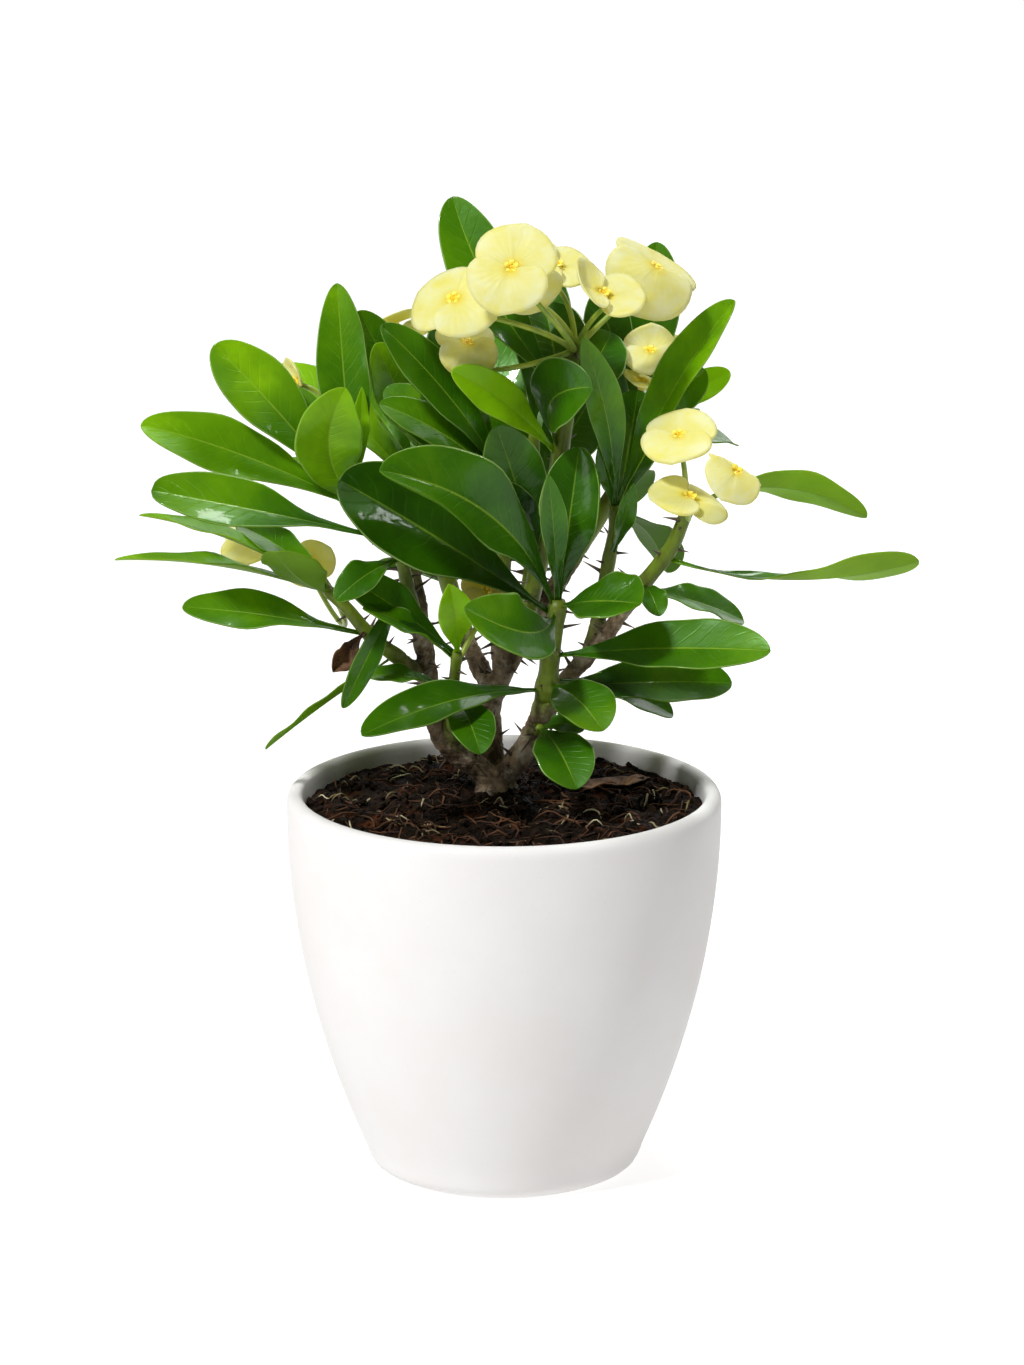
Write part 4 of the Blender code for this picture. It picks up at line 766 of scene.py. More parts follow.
@dataclass(frozen=True)
class BractFinish:
    """Soft lemon bracts: cream in the light, a deeper yellow towards the cup."""
    cream: tuple = (0.83, 0.85, 0.56)
    lemon: tuple = (0.80, 0.76, 0.21)
    throat: tuple = (0.84, 0.70, 0.08)

    def material(self) -> bpy.types.Material:
        """The bracts' material; the copy's tone paints shade onto a bloom that sits in shade, as a darker olive
        yellow.
        """
        mix = Recipe("bract_lemon")
        along, out = mix.blade()
        mottle = mix.noise(130.0, 4.0, 0.6)
        colour = mix.blend(mix.band(mottle, 0.35, 0.7), self.cream, self.lemon)
        colour = mix.blend(mix.band(along, 0.8, 0.1, 0.0, 0.7), colour, self.lemon)
        colour = mix.blend(mix.band(along, 0.22, 0.02), colour, self.throat)
        # Painted shade: the copy's tone darkens its bracts towards olive yellow.
        colour = mix.blend(mix.mark("tone"), colour, (0.52, 0.45, 0.10))
        fan = mix.maths("SINE", mix.maths("MULTIPLY", out, 52.0))
        relief = mix.maths("MULTIPLY_ADD", fan, 0.10, mottle)
        mix.lit_through(0.38, mix.blend(0.85, colour, (0.93, 0.88, 0.02)))
        return mix.finish(Base_Color=colour, Roughness=0.5, Normal=mix.bump(relief, 0.3),
                          Specular_IOR_Level=0.35)


@dataclass(frozen=True)
class CupFinish:
    """The small waxy cup and the glands round it."""
    name: str
    colour: tuple
    deep: tuple
    roughness: float = 0.35

    def material(self) -> bpy.types.Material:
        """The wax's material."""
        mix = Recipe(self.name)
        colour = mix.blend(mix.band(mix.noise(800.0, 2.0), 0.35, 0.65), self.deep, self.colour)
        return mix.finish(Base_Color=colour, Roughness=self.roughness,
                          Normal=mix.bump(mix.noise(1500.0), 0.1))


@dataclass(frozen=True)
class DryLeafFinish:
    """A withered leaf: brown with paler ribs and darker blotches."""
    brown: tuple = (0.16, 0.075, 0.028)
    pale: tuple = (0.34, 0.22, 0.10)
    dark: tuple = (0.040, 0.020, 0.010)

    def material(self) -> bpy.types.Material:
        """The withered leaf's material."""
        mix = Recipe("withered_leaf")
        rib, vein = LeafFinish().veins(mix)
        colour = mix.blend(mix.band(mix.noise(150.0, 5.0, 0.65), 0.42, 0.64), self.brown, self.dark)
        colour = mix.blend(mix.maths("MAXIMUM", rib, mix.maths("MULTIPLY", vein, 0.5)), colour, self.pale)
        return mix.finish(Base_Color=colour, Roughness=0.7, Specular_IOR_Level=0.3,
                          Normal=mix.bump(mix.noise(260.0, 5.0), 0.8))


def deselect() -> None:
    """Leaves nothing selected."""
    bpy.ops.object.select_all(action="DESELECT")


def take(piece: bpy.types.Object) -> None:
    """Selects one piece alone and makes it active."""
    deselect()
    piece.select_set(True)
    bpy.context.view_layer.objects.active = piece


def apply(piece: bpy.types.Object, kind: str, **settings: object) -> None:
    """Adds a modifier with these settings and applies it."""
    take(piece)
    added = piece.modifiers.new(kind.lower(), kind)
    for key, value in settings.items():
        setattr(added, key, value)
    bpy.ops.object.modifier_apply(modifier=added.name)


def turned(name: str, rings: list, sides: int) -> bpy.types.Object:
    """A closed body of round rings, each extruded from the one before it.

    Args:
        name: The piece's name.
        rings: Radius and height of each ring, the first and the last of them small.
        sides: Faces round each ring.

    Returns:
        The new piece, in millimetres.
    """
    deselect()
    radius, height = rings[0]
    bpy.ops.mesh.primitive_circle_add(vertices=sides, radius=radius, fill_type="TRIFAN",
                                      location=(0, 0, height))
    piece = bpy.context.object
    bpy.ops.object.transform_apply(location=True)
    bpy.ops.object.mode_set(mode="EDIT")
    bpy.ops.mesh.select_mode(type="EDGE")
    bpy.ops.mesh.select_all(action="DESELECT")
    bpy.ops.mesh.select_non_manifold()
    for next_radius, next_height in rings[1:]:
        bpy.ops.mesh.extrude_region_move(TRANSFORM_OT_translate={"value": (0, 0, next_height - height)})
        ratio = next_radius / radius
        bpy.ops.transform.resize(value=(ratio, ratio, 1), center_override=(0, 0, next_height))
        radius, height = next_radius, next_height
    bpy.ops.mesh.edge_face_add()
    bpy.ops.mesh.poke()
    bpy.ops.mesh.select_all(action="SELECT")
    bpy.ops.mesh.normals_make_consistent(inside=False)
    bpy.ops.object.mode_set(mode="OBJECT")
    piece.name = name
    return piece


class Blank:
    """A small mesh, modelled once, from which copies are bent."""

    def __init__(self, piece: bpy.types.Object, blade: np.ndarray | None = None) -> None:
        """Reads the mesh of a piece and removes the piece.

        Args:
            piece: The modelled blank.
            blade: For each vertex, how far across and how far along a blade it lies.
        """
        mesh = piece.data
        self.points = np.zeros(len(mesh.vertices) * 3)
        mesh.vertices.foreach_get("co", self.points)
        self.points = self.points.reshape(-1, 3)
        self.corners = np.zeros(len(mesh.loops), int)
        mesh.loops.foreach_get("vertex_index", self.corners)
        self.sizes = np.zeros(len(mesh.polygons), int)
        mesh.polygons.foreach_get("loop_total", self.sizes)
        self.slots = np.zeros(len(mesh.polygons), int)
        mesh.polygons.foreach_get("material_index", self.slots)
        self.blade = blade
        bpy.data.objects.remove(piece)
        bpy.data.meshes.remove(mesh)

    def copies(self, name: str, shapes: list, materials: tuple,
               marks: dict[str, np.ndarray] | None = None) -> bpy.types.Object:
        """One piece of many copies.

        Args:
            name: The piece's name.
            shapes: For each copy, the places of all its vertices.
            materials: The materials, in the order of the blank's slots.
            marks: Numbers that the mesh carries: one for each copy, or a row of one for each vertex.

        Returns:
            The new piece.
        """
        count, points = len(shapes), len(self.points)
        mesh = bpy.data.meshes.new(name)
        mesh.vertices.add(count * points)
        mesh.vertices.foreach_set("co", np.concatenate(shapes).ravel() * MM)
        corners = (self.corners[None] + np.arange(count)[:, None] * points).ravel()
        mesh.loops.add(len(corners))
        mesh.loops.foreach_set("vertex_index", corners)
        mesh.polygons.add(count * len(self.sizes))
        sizes = np.tile(self.sizes, count)
        mesh.polygons.foreach_set("loop_start", np.cumsum(sizes) - sizes)
        mesh.polygons.foreach_set("material_index", np.tile(self.slots, count))
        if self.blade is not None:
            grown = mesh.uv_layers.new(name="blade")
            grown.data.foreach_set("uv", np.tile(self.blade, (count, 1))[corners].ravel())
        for key, values in (marks or {}).items():
            values = np.asarray(values, float)
            values = values if values.ndim == 2 else np.repeat(values[:, None], points, axis=1)
            carried = mesh.attributes.new(key, "FLOAT", "POINT")
            carried.data.foreach_set("value", values.ravel())
        mesh.update()
        mesh.validate()
        mesh.shade_smooth()
        for entry in materials:
            mesh.materials.append(entry)
        piece = bpy.data.objects.new(name, mesh)
        bpy.context.scene.collection.objects.link(piece)
        return piece


@dataclass
class Blanks:
    """The blanks that the whole plant is made from."""
    along: np.ndarray = field(default_factory=lambda: 1 - (1 - np.linspace(0, 1, 27)) ** 1.5)
    across: np.ndarray = field(default_factory=lambda: np.array(
        (-1, -0.93, -0.76, -0.53, -0.29, -0.11, -0.035, 0, 0.035, 0.11, 0.29, 0.53, 0.76, 0.93, 1.0)))
    fan: np.ndarray = field(default_factory=lambda: np.linspace(-1, 1, 25))
    reach: np.ndarray = field(default_factory=lambda: np.linspace(0, 1, 10))
    bar_rings: int = 18
    stalk_rings: int = 16

    def __post_init__(self) -> None:
        """Models every blank."""
        self.leaf, self.leaf_order = self.sheet(self.along, self.across)
        self.bract, self.bract_order = self.sheet(self.reach, self.fan)
        self.bar = self.round_bar(self.bar_rings, 16)
        self.stalk = self.round_bar(self.stalk_rings, 10)
        self.fibre = self.round_bar(7, 4)
        spine = turned("thorn_blank", [(0.2, -0.05), (1.55, 0.0), (0.85, 0.09), (0.62, 0.3), (0.38, 0.65),
                                       (0.10, 1.0)], 8)
        self.thorn = Blank(spine, self.heights(spine))
        deselect()
        bpy.ops.mesh.primitive_ico_sphere_add(subdivisions=1, radius=1.0)
        self.crumb = Blank(bpy.context.object)
        self.cup = Blank(self.model_cup())

    @staticmethod
    def heights(piece: bpy.types.Object) -> np.ndarray:
        """For each vertex of an upright blank, 0.5 across and its own height along."""
        return np.array([(0.5, vertex.co.z) for vertex in piece.data.vertices])

    @staticmethod
    def sheet(along: np.ndarray, across: np.ndarray) -> tuple[Blank, np.ndarray]:
        """A flat grid, and the order of its vertices in rows along and columns across."""
        rows, columns = len(along) - 1, len(across) - 1
        deselect()
        bpy.ops.mesh.primitive_grid_add(x_subdivisions=columns, y_subdivisions=rows, size=2.0)
        piece = bpy.context.object
        places = np.array([vertex.co[:2] for vertex in piece.data.vertices])
        column = np.rint((places[:, 0] + 1) / 2 * columns).astype(int)
        row = np.rint((places[:, 1] + 1) / 2 * rows).astype(int)
        blade = np.stack([(across[column] + 1) / 2, along[row]], axis=1)
        return Blank(piece, blade), row * (columns + 1) + column

    @staticmethod
    def round_bar(rings: int, sides: int) -> Blank:
        """An upright bar of radius 1 with its rings a millimetre apart."""
        piece = turned("bar_blank", [(1.0, float(ring)) for ring in range(rings)], sides)
        places = np.array([vertex.co for vertex in piece.data.vertices])
        turn = np.arctan2(places[:, 1], places[:, 0]) / math.tau + 0.5
        return Blank(piece, np.stack([turn, places[:, 2] / (rings - 1)], axis=1))

    @staticmethod
    def model_cup() -> bpy.types.Object:
        """The bloom's cup with five glands round its mouth and a few stamens in it."""
        cup = turned("cup_blank", [(0.3, -2.2), (1.35, -2.1), (1.75, -1.2), (2.05, 0.4), (2.0, 1.3),
                                   (1.6, 1.5), (1.2, 1.1), (0.9, 0.3), (0.2, 0.2)], 15)
        extras = []
        for gland in range(5):
            angle = math.tau * gland / 5
            deselect()
            bpy.ops.mesh.primitive_uv_sphere_add(segments=10, ring_count=6, radius=1.0)
            made = bpy.context.object
            made.scale = (0.95, 1.2, 0.45)
            made.rotation_euler = (0.0, -0.35, angle)
            made.location = (1.95 * math.cos(angle), 1.95 * math.sin(angle), 1.55)
            extras.append((made, 1))
        for stamen, (x, y, z) in enumerate(((0.1, 0.55, 2.0), (-0.5, -0.2, 1.7), (0.5, -0.35, 2.2))):
            deselect()
            bpy.ops.mesh.primitive_cone_add(vertices=6, radius1=0.12, radius2=0.10, depth=2.0,
                                            location=(x, y, z - 1.0))
            extras.append((bpy.context.object, 1))
            deselect()
            bpy.ops.mesh.primitive_uv_sphere_add(segments=8, ring_count=5, radius=0.34, location=(x, y, z))
            extras.append((bpy.context.object, 2))
        for made, slot in extras:
            take(made)
            bpy.ops.object.transform_apply(location=True, rotation=True, scale=True)
            for index in range(3):
                made.data.materials.append(None)
            made.data.polygons.foreach_set("material_index", [slot] * len(made.data.polygons))
        for index in range(3):
            cup.data.materials.append(None)
        take(cup)
        for made, slot in extras:
            made.select_set(True)
        bpy.ops.object.join()
        return cup

    def bent_bar(self, blank: Blank, path: np.ndarray, radii: np.ndarray) -> np.ndarray:
        """Vertex places of a round bar that is bent along a path.

        Args:
            blank: The upright bar.
            path: A point for each of its rings.
            radii: A radius for each of its rings.

        Returns:
            The places of the bar's vertices.
        """
        tangent = unit(np.gradient(path, axis=0))
        side = [unit(np.cross(tangent[0], (0.31, 0.95, 0.05)))]
        for ahead in tangent[1:]:
            side.append(unit(side[-1] - ahead * side[-1].dot(ahead)))
        side = np.array(side)
        other = np.cross(tangent, side)
        ring = np.clip(np.rint(blank.points[:, 2]).astype(int), 0, len(path) - 1)
        x, y = blank.points[:, :1] * radii[ring, None], blank.points[:, 1:2] * radii[ring, None]
        return path[ring] + side[ring] * x + other[ring] * y

    @staticmethod
    def turned_to(blank: Blank, foot: np.ndarray, aim: np.ndarray, width: float, length: float) -> np.ndarray:
        """Vertex places of an upright blank that stands on its foot and looks along the aim."""
        side = unit(np.cross(aim, (0.31, 0.22, 0.92)))
        other = np.cross(aim, side)
        x, y, z = (blank.points[:, axis:axis + 1] for axis in range(3))
        return foot + side * x * width + other * y * width + aim * z * length


@dataclass
class Palette:
    """Every material, made once."""
    glaze: bpy.types.Material = field(default_factory=lambda: CeramicFinish().material())
    soil: bpy.types.Material = field(default_factory=lambda: SoilFinish().material())
    fibre: bpy.types.Material = field(default_factory=lambda: FibreFinish(
        "coir", (0.022, 0.009, 0.005), (0.125, 0.052, 0.018)).material())
    straw: bpy.types.Material = field(default_factory=lambda: FibreFinish(
        "straw", (0.16, 0.12, 0.04), (0.62, 0.56, 0.36)).material())
    bark: bpy.types.Material = field(default_factory=lambda: BarkFinish().material())
    thorn: bpy.types.Material = field(default_factory=lambda: ThornFinish().material())
    upper: bpy.types.Material = field(default_factory=lambda: LeafFinish().material())
    under: bpy.types.Material = field(default_factory=lambda: UndersideFinish().material())
    stalk: bpy.types.Material = field(default_factory=lambda: StalkFinish().material())
    bract: bpy.types.Material = field(default_factory=lambda: BractFinish().material())
    cup: bpy.types.Material = field(default_factory=lambda: CupFinish(
        "cup_wax", (1.0, 0.82, 0.10), (0.96, 0.70, 0.05)).material())
    gland: bpy.types.Material = field(default_factory=lambda: CupFinish(
        "gland_wax", (1.0, 0.84, 0.12), (1.0, 0.74, 0.04)).material())
    pollen: bpy.types.Material = field(default_factory=lambda: CupFinish(
        "pollen", (0.85, 0.45, 0.05), (0.60, 0.22, 0.02), 0.8).material())
    dry: bpy.types.Material = field(default_factory=lambda: DryLeafFinish().material())


def settle(piece: bpy.types.Object, slot: Slot, *nodes: str) -> bpy.types.Object:
    """Hangs a finished piece under the root body and hides the solids that it stands for.

    Args:
        piece: The piece, in place.
        slot: Not used.
        nodes: The solids that it stands for.

    Returns:
        The same piece.
    """
    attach(piece, "root")
    if nodes:
        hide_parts(*nodes)
    log.info("%s: %d faces for %s", piece.name, len(piece.data.polygons), ", ".join(nodes) or "no solid")
    return piece


@dataclass
class PlantPot:
    """The round pot: a curved, tapered side, a flat foot and a rounded lip."""
    radius: float = 85.0
    shoulder: float = 147.0
    taper: float = 33.9
    wall: float = 6.6
    floor: float = 8.0
    foot_radius: float = 47.0
    foot_curve: float = 9.0
    sides: int = 128
    lip: tuple = ((84.95, 147.6), (84.75, 149.1), (84.2, 150.3), (83.3, 151.3), (82.2, 151.85), (81.0, 152.0),
                  (79.9, 151.7), (79.05, 150.9), (78.6, 149.8))

    def side(self, height: float) -> float:
        """Outer radius at a height."""
        return self.radius - self.taper * ((self.shoulder - height) / self.shoulder) ** 2

    def profile(self) -> list:
        """Rings from the middle of the foot, up the outside, over the lip and down to the floor."""
        low = self.side(self.foot_curve)
        rings = [(1.0, 0.0), (self.foot_radius - 1.5, 0.0), (self.foot_radius, 0.0),
                 (self.foot_radius + 1.6, 0.25), (low - 4.2, 1.4), (low - 2.7, 2.7), (low - 1.6, 4.6),
                 (low - 0.7, 6.8)]
        heights = np.linspace(self.foot_curve, self.shoulder, 24)
        rings += [(self.side(height), float(height)) for height in heights]
        rings += list(self.lip) + [(self.side(self.shoulder) - self.wall, self.shoulder)]
        inside = np.linspace(self.shoulder - 6, self.foot_curve + 8, 12)
        rings += [(self.side(height) - self.wall, float(height)) for height in inside]
        return rings + [(low - self.wall - 3, self.floor + 2), (low - self.wall - 8, self.floor), (1.0, self.floor)]

    def build(self, palette: Palette) -> None:
        """Models and dresses the pot."""
        piece = turned("pot_body", self.profile(), self.sides)
        piece.data.transform(((MM, 0, 0, 0), (0, MM, 0, 0), (0, 0, MM, 0), (0, 0, 0, 1)))
        piece.data.shade_smooth()
        piece.data.materials.append(palette.glaze)
        settle(piece, Slot.CERAMIC, "pot")


@dataclass
class PottingSoil:
    """The soil: an uneven bed under crumbs, coir fibres and straws."""
    edge: float = 145.4
    radius: float = 77.9
    crown: tuple = (-3.0, 15.0)
    bottom: float = 110.0
    crumbs: int = 1500
    fibres: int = 330
    straws: int = 64
    seed: int = 11

    def height(self, x: float, y: float) -> float:
        """Height of the bed's top, as in the solid."""
        away = math.hypot(x - self.crown[0], y - self.crown[1])
        fade = min(1.0, max(0.0, (77.6 - math.hypot(x, y)) / 12))
        lumps = 0.9 * (math.sin(x / 6.1 + 1.0) * math.cos(y / 7.3) + 0.6 * math.sin(x / 3.7 + y / 4.9))
        mound = 3.0 * math.exp(-(away / 24.0) ** 2)
        return self.edge + fade * (0.9 + mound + lumps * min(1.0, away / 20))

    def rough_height(self, x: float, y: float) -> float:
        """Height of the bed's top with its clods."""
        spot = Vector((x, y, 0.0))
        clods = noise.fractal(spot / 9.0, 1.0, 2.1, 4) * 2.0 + noise.noise(spot / 2.2) * 0.9
        return self.height(x, y) + clods - 0.9

    def build(self, palette: Palette) -> None:
        """Models and dresses the soil."""
        rings = [(0.6, 0.0)] + [(float(r), 0.0) for r in np.linspace(2.4, self.radius, 58)]
        rings += [(self.radius - 1.5, -12.0), (self.radius - 5.0, self.bottom - self.edge),
                  (1.0, self.bottom - self.edge)]
        bed = turned("soil_bed", rings, 190)
        for vertex in bed.data.vertices:
            x, y, z = vertex.co
            top = self.rough_height(x, y) if z > -1 else self.edge + z
            vertex.co = Vector((x, y, top)) * MM
        bed.data.shade_smooth()
        bed.data.materials.append(palette.soil)
        settle(bed, Slot.SOIL, "soil")
        draw = Random(self.seed)
        self.scatter_crumbs(draw, palette)
        self.scatter_fibres("soil_fibres", self.fibres, (5.0, 20.0), (0.22, 0.5), palette.fibre, draw)
        self.scatter_fibres("soil_straws", self.straws, (4.0, 12.0), (0.2, 0.5), palette.straw, draw)

    def spot(self, draw: Random, margin: float = 2.0) -> tuple[float, float]:
        """A random place on the bed, off the trunk."""
        while True:
            x, y = draw.uniform(-78, 78), draw.uniform(-78, 78)
            near = math.hypot(x - self.crown[0], y - self.crown[1])
            if math.hypot(x, y) < self.radius - margin and near > 10:
                return x, y

    def scatter_crumbs(self, draw: Random, palette: Palette) -> None:
        """Clods and crumbs, most of them small."""
        shapes, tones = [], []
        for _ in range(self.crumbs):
            size = 0.6 + 2.3 * draw.random() ** 3
            x, y = self.spot(draw, size + 0.5)
            turn = np.linalg.qr(np.array([[draw.gauss(0, 1) for _ in range(3)] for _ in range(3)]))[0]
            jitter = 1 + 0.28 * np.array([draw.uniform(-1, 1) for _ in range(len(BLANKS.crumb.points))])
            stretch = np.array((1.0, draw.uniform(0.5, 0.9), draw.uniform(0.45, 0.8)))
            places = BLANKS.crumb.points * jitter[:, None] * stretch * size
            shapes.append(places @ turn.T + np.array((x, y, self.rough_height(x, y) + size * 0.25)))
            tones.append(draw.random() ** 4)
        piece = BLANKS.crumb.copies("soil_crumbs", shapes, (palette.soil,), {"tone": np.array(tones)})
        piece.data.polygons.foreach_set("use_smooth", [False] * len(piece.data.polygons))
        settle(piece, Slot.SOIL)

    def scatter_fibres(self, name: str, count: int, lengths: tuple, radii: tuple,
                       finish: bpy.types.Material, draw: Random) -> None:
        """Thin bent fibres that lie on the bed.

        Args:
            name: The piece's name.
            count: How many fibres.
            lengths: The shortest and the longest.
            radii: The thinnest and the thickest.
            finish: Their material.
            draw: The random draw.
        """
        shapes, tones = [], []
        while len(shapes) < count:
            x, y = self.spot(draw)
            heading, bend = draw.uniform(0, math.tau), draw.gauss(0, 0.9)
            length, radius = draw.uniform(*lengths), draw.uniform(*radii)
            lift = draw.random() ** 3 * 3.5
            path = []
            for step in range(7):
                share = step / 6
                height = self.rough_height(x, y) + radius * 0.6 + 0.5 + lift * math.sin(math.pi * share)
                path.append((x, y, height))
                x += math.cos(heading + bend * share) * length / 6
                y += math.sin(heading + bend * share) * length / 6
            if max(math.hypot(px, py) for px, py, _ in path) > self.radius - 1.5:
                continue
            if min(math.hypot(px - self.crown[0], py - self.crown[1]) for px, py, _ in path) < 10.5:
                continue
            taper = np.array((0.35, 0.9, 1.0, 1.0, 0.9, 0.7, 0.25)) * radius
            shapes.append(BLANKS.bent_bar(BLANKS.fibre, np.array(path), taper))
            tones.append(draw.random() ** 1.6)
        settle(BLANKS.fibre.copies(name, shapes, (finish,), {"tone": np.array(tones)}), Slot.SOIL)


class ThornRule:
    """Places thorns round a stem on a golden-angle spiral and keeps them off blades and other stems."""
    every = 11.0
    lengths = (6.0, 10.0)
    clear = 5.0
    golden = math.radians(137.5)

    def __init__(self) -> None:
        """Gathers the points of every blade, stalk and limb."""
        along, across = np.linspace(0, 1, 15), np.linspace(-1, 1, 5)
        cloud = []
        for shoot in SHOOTS:
            stem = shoot.stem()
            for leaf in shoot.leaves:
                grid = leaf.surface(leaf.foot(stem, shoot.radius[1]), along, across)
                cloud.append(grid[3:].reshape(-1, 3))
            for bloom in shoot.blooms:
                cloud.append(shoot.stalk(bloom)[5:])
                for half_turn in (0, 1):
                    cloud.append(bloom.bract(half_turn, np.linspace(0, 1, 4),
                                             np.linspace(-1, 1, 7)).reshape(-1, 3))
        self.blades = np.concatenate(cloud)

    def places(self, shoot: Shoot, path: np.ndarray, radii: np.ndarray, seed: int,
               share: float = 1.0) -> list:
        """Foot, aim and length of each thorn on a stretch of stem.

        Args:
            shoot: The shoot that the stretch belongs to.
            path: The stretch's middle line.
            radii: Its radius at each point.
            seed: The seed of the draw.
            share: Spacing and length against the usual ones.

        Returns:
            A list of (foot, aim, length).
        """
        others = np.concatenate([other.path() for other in SHOOTS if other is not shoot])
        keep_off = np.concatenate([self.blades, others])
        draw = Random(seed)
        length = length_of(path)
        found = []
        place, turn = self.every * share * 0.5, draw.uniform(0, math.tau)
        while place < length - 2:
            spot = along_path(path, place / length)
            tangent = unit(along_path(path, min(1.0, place / length + 0.02)) - spot)
            side = unit(np.cross(tangent, (0.3, 1.0, 0.1)))
            out = side * math.cos(turn) + np.cross(tangent, side) * math.sin(turn)
            aim = unit(out + tangent * draw.uniform(-0.05, 0.35))
            radius = float(np.interp(place / length, shares_of(path), radii))
            reach = draw.uniform(*self.lengths) * share
            samples = spot + np.outer(np.linspace(radius, radius + reach + 0.3, 5), aim)
            nearest = min(np.linalg.norm(keep_off - sample, axis=1).min() for sample in samples)
            if nearest > self.clear * share:
                found.append((spot + aim * radius * 0.8, aim, reach + radius * 0.2))
            place += self.every * share * draw.uniform(0.7, 1.25)
            turn += self.golden
        return found

    @staticmethod
    def build(name: str, places: list, palette: Palette) -> bpy.types.Object:
        """One piece of thorns at these places."""
        shapes = [BLANKS.turned_to(BLANKS.thorn, foot, aim, 0.62 + 0.045 * length, length)
                  for foot, aim, length in places]
        return BLANKS.thorn.copies(name, shapes, (palette.thorn,))


@dataclass
class WoodyTrunk:
    """The trunk: a stub in the soil that forks into a limb for each shoot, with bark and thorns."""
    crown: tuple = (-3.0, 15.0)
    crown_radius: float = 9.8
    crown_depth: float = 124.0
    crown_top: float = 152.0
    voxel: float = 0.75
    grain: float = 0.5

    def limb(self, shoot: Shoot) -> tuple[np.ndarray, np.ndarray]:
        """Middle line and radii of a limb's woody part, a little into its green stem."""
        last = shoot.split() + 2
        path, radii = shoot.path()[:last], shoot.radii()[:last]
        shares = np.linspace(0, 1, BLANKS.bar_rings)
        knots = 1 + 0.05 * np.sin(shares * length_of(path) / 2.3 + len(path))
        return along_path(path, shares), np.interp(shares, shares_of(path), radii) * knots

    def build(self, palette: Palette, rule: ThornRule) -> None:
        """Models and dresses the trunk."""
        shapes = [BLANKS.bent_bar(BLANKS.bar, *self.limb(shoot)) for shoot in SHOOTS]
        stub = np.linspace((*self.crown, self.crown_depth), (*self.crown, self.crown_top), BLANKS.bar_rings)
        swell = self.crown_radius * np.interp(np.linspace(0, 1, BLANKS.bar_rings), (0, 0.7, 0.9, 1.0),
                                              (0.8, 0.98, 0.86, 0.6))
        shapes.append(BLANKS.bent_bar(BLANKS.bar, stub, swell))
        wood = BLANKS.bar.copies("trunk_bark", shapes, (palette.bark,))
        apply(wood, "REMESH", mode="VOXEL", voxel_size=self.voxel * MM)
        apply(wood, "SMOOTH", factor=0.5, iterations=5)
        self.roughen(wood)
        self.mark_green(wood)
        wood.data.shade_smooth()
        settle(wood, Slot.BARK, "trunk")
        places = []
        for order, shoot in enumerate(SHOOTS):
            last = shoot.split() + 1
            path, radii = shoot.path()[:last], shoot.radii()[:last]
            bare = path[:, 2] > self.crown_top + 4
            if bare.sum() > 3:
                places += rule.places(shoot, path[bare], radii[bare], order + 1)
                places += rule.places(shoot, path[bare], radii[bare], order + 90, 0.55)
        settle(rule.build("trunk_thorns", places, palette), Slot.BARK)

    def roughen(self, wood: bpy.types.Object) -> None:
        """Pushes the bark in and out in ridges, knobs and cracks."""
        count = len(wood.data.vertices)
        places, normals = np.zeros(count * 3), np.zeros(count * 3)
        wood.data.vertices.foreach_get("co", places)
        wood.data.vertices.foreach_get("normal", normals)
        push = np.zeros(count)
        for index, (x, y, z) in enumerate(places.reshape(-1, 3) / MM):
            height = noise.fractal(Vector((x / 2.0, y / 2.0, z / 5.5)), 1.0, 2.0, 4) * 0.8
            height += noise.noise(Vector((x, y, z)) / 6.0) * 0.7
            push[index] = height - max(0.0, noise.noise(Vector((x / 7, y / 7, z / 1.3))) - 0.2) * 1.6
        places += normals * np.repeat(push, 3) * self.grain * MM
        wood.data.vertices.foreach_set("co", places)
        wood.data.update()

    def mark_green(self, wood: bpy.types.Object) -> None:
        """Marks how green the bark is, from its place on the nearest limb."""
        stretches = []
        for shoot in SHOOTS:
            path = shoot.path()[:shoot.split() + 2]
            left = (1 - shares_of(path)) * length_of(path)
            stretches += [(spot, 0.62 - min(near, 30.0) / 30.0 * 0.62) for spot, near in zip(path, left)]
        tree = kdtree.KDTree(len(stretches))
        for index, (spot, _) in enumerate(stretches):
            tree.insert(spot, index)
        tree.balance()
        values = [stretches[tree.find(vertex.co / MM)[1]][1] for vertex in wood.data.vertices]
        wood.data.attributes.new("green", "FLOAT", "POINT").data.foreach_set("value", values)


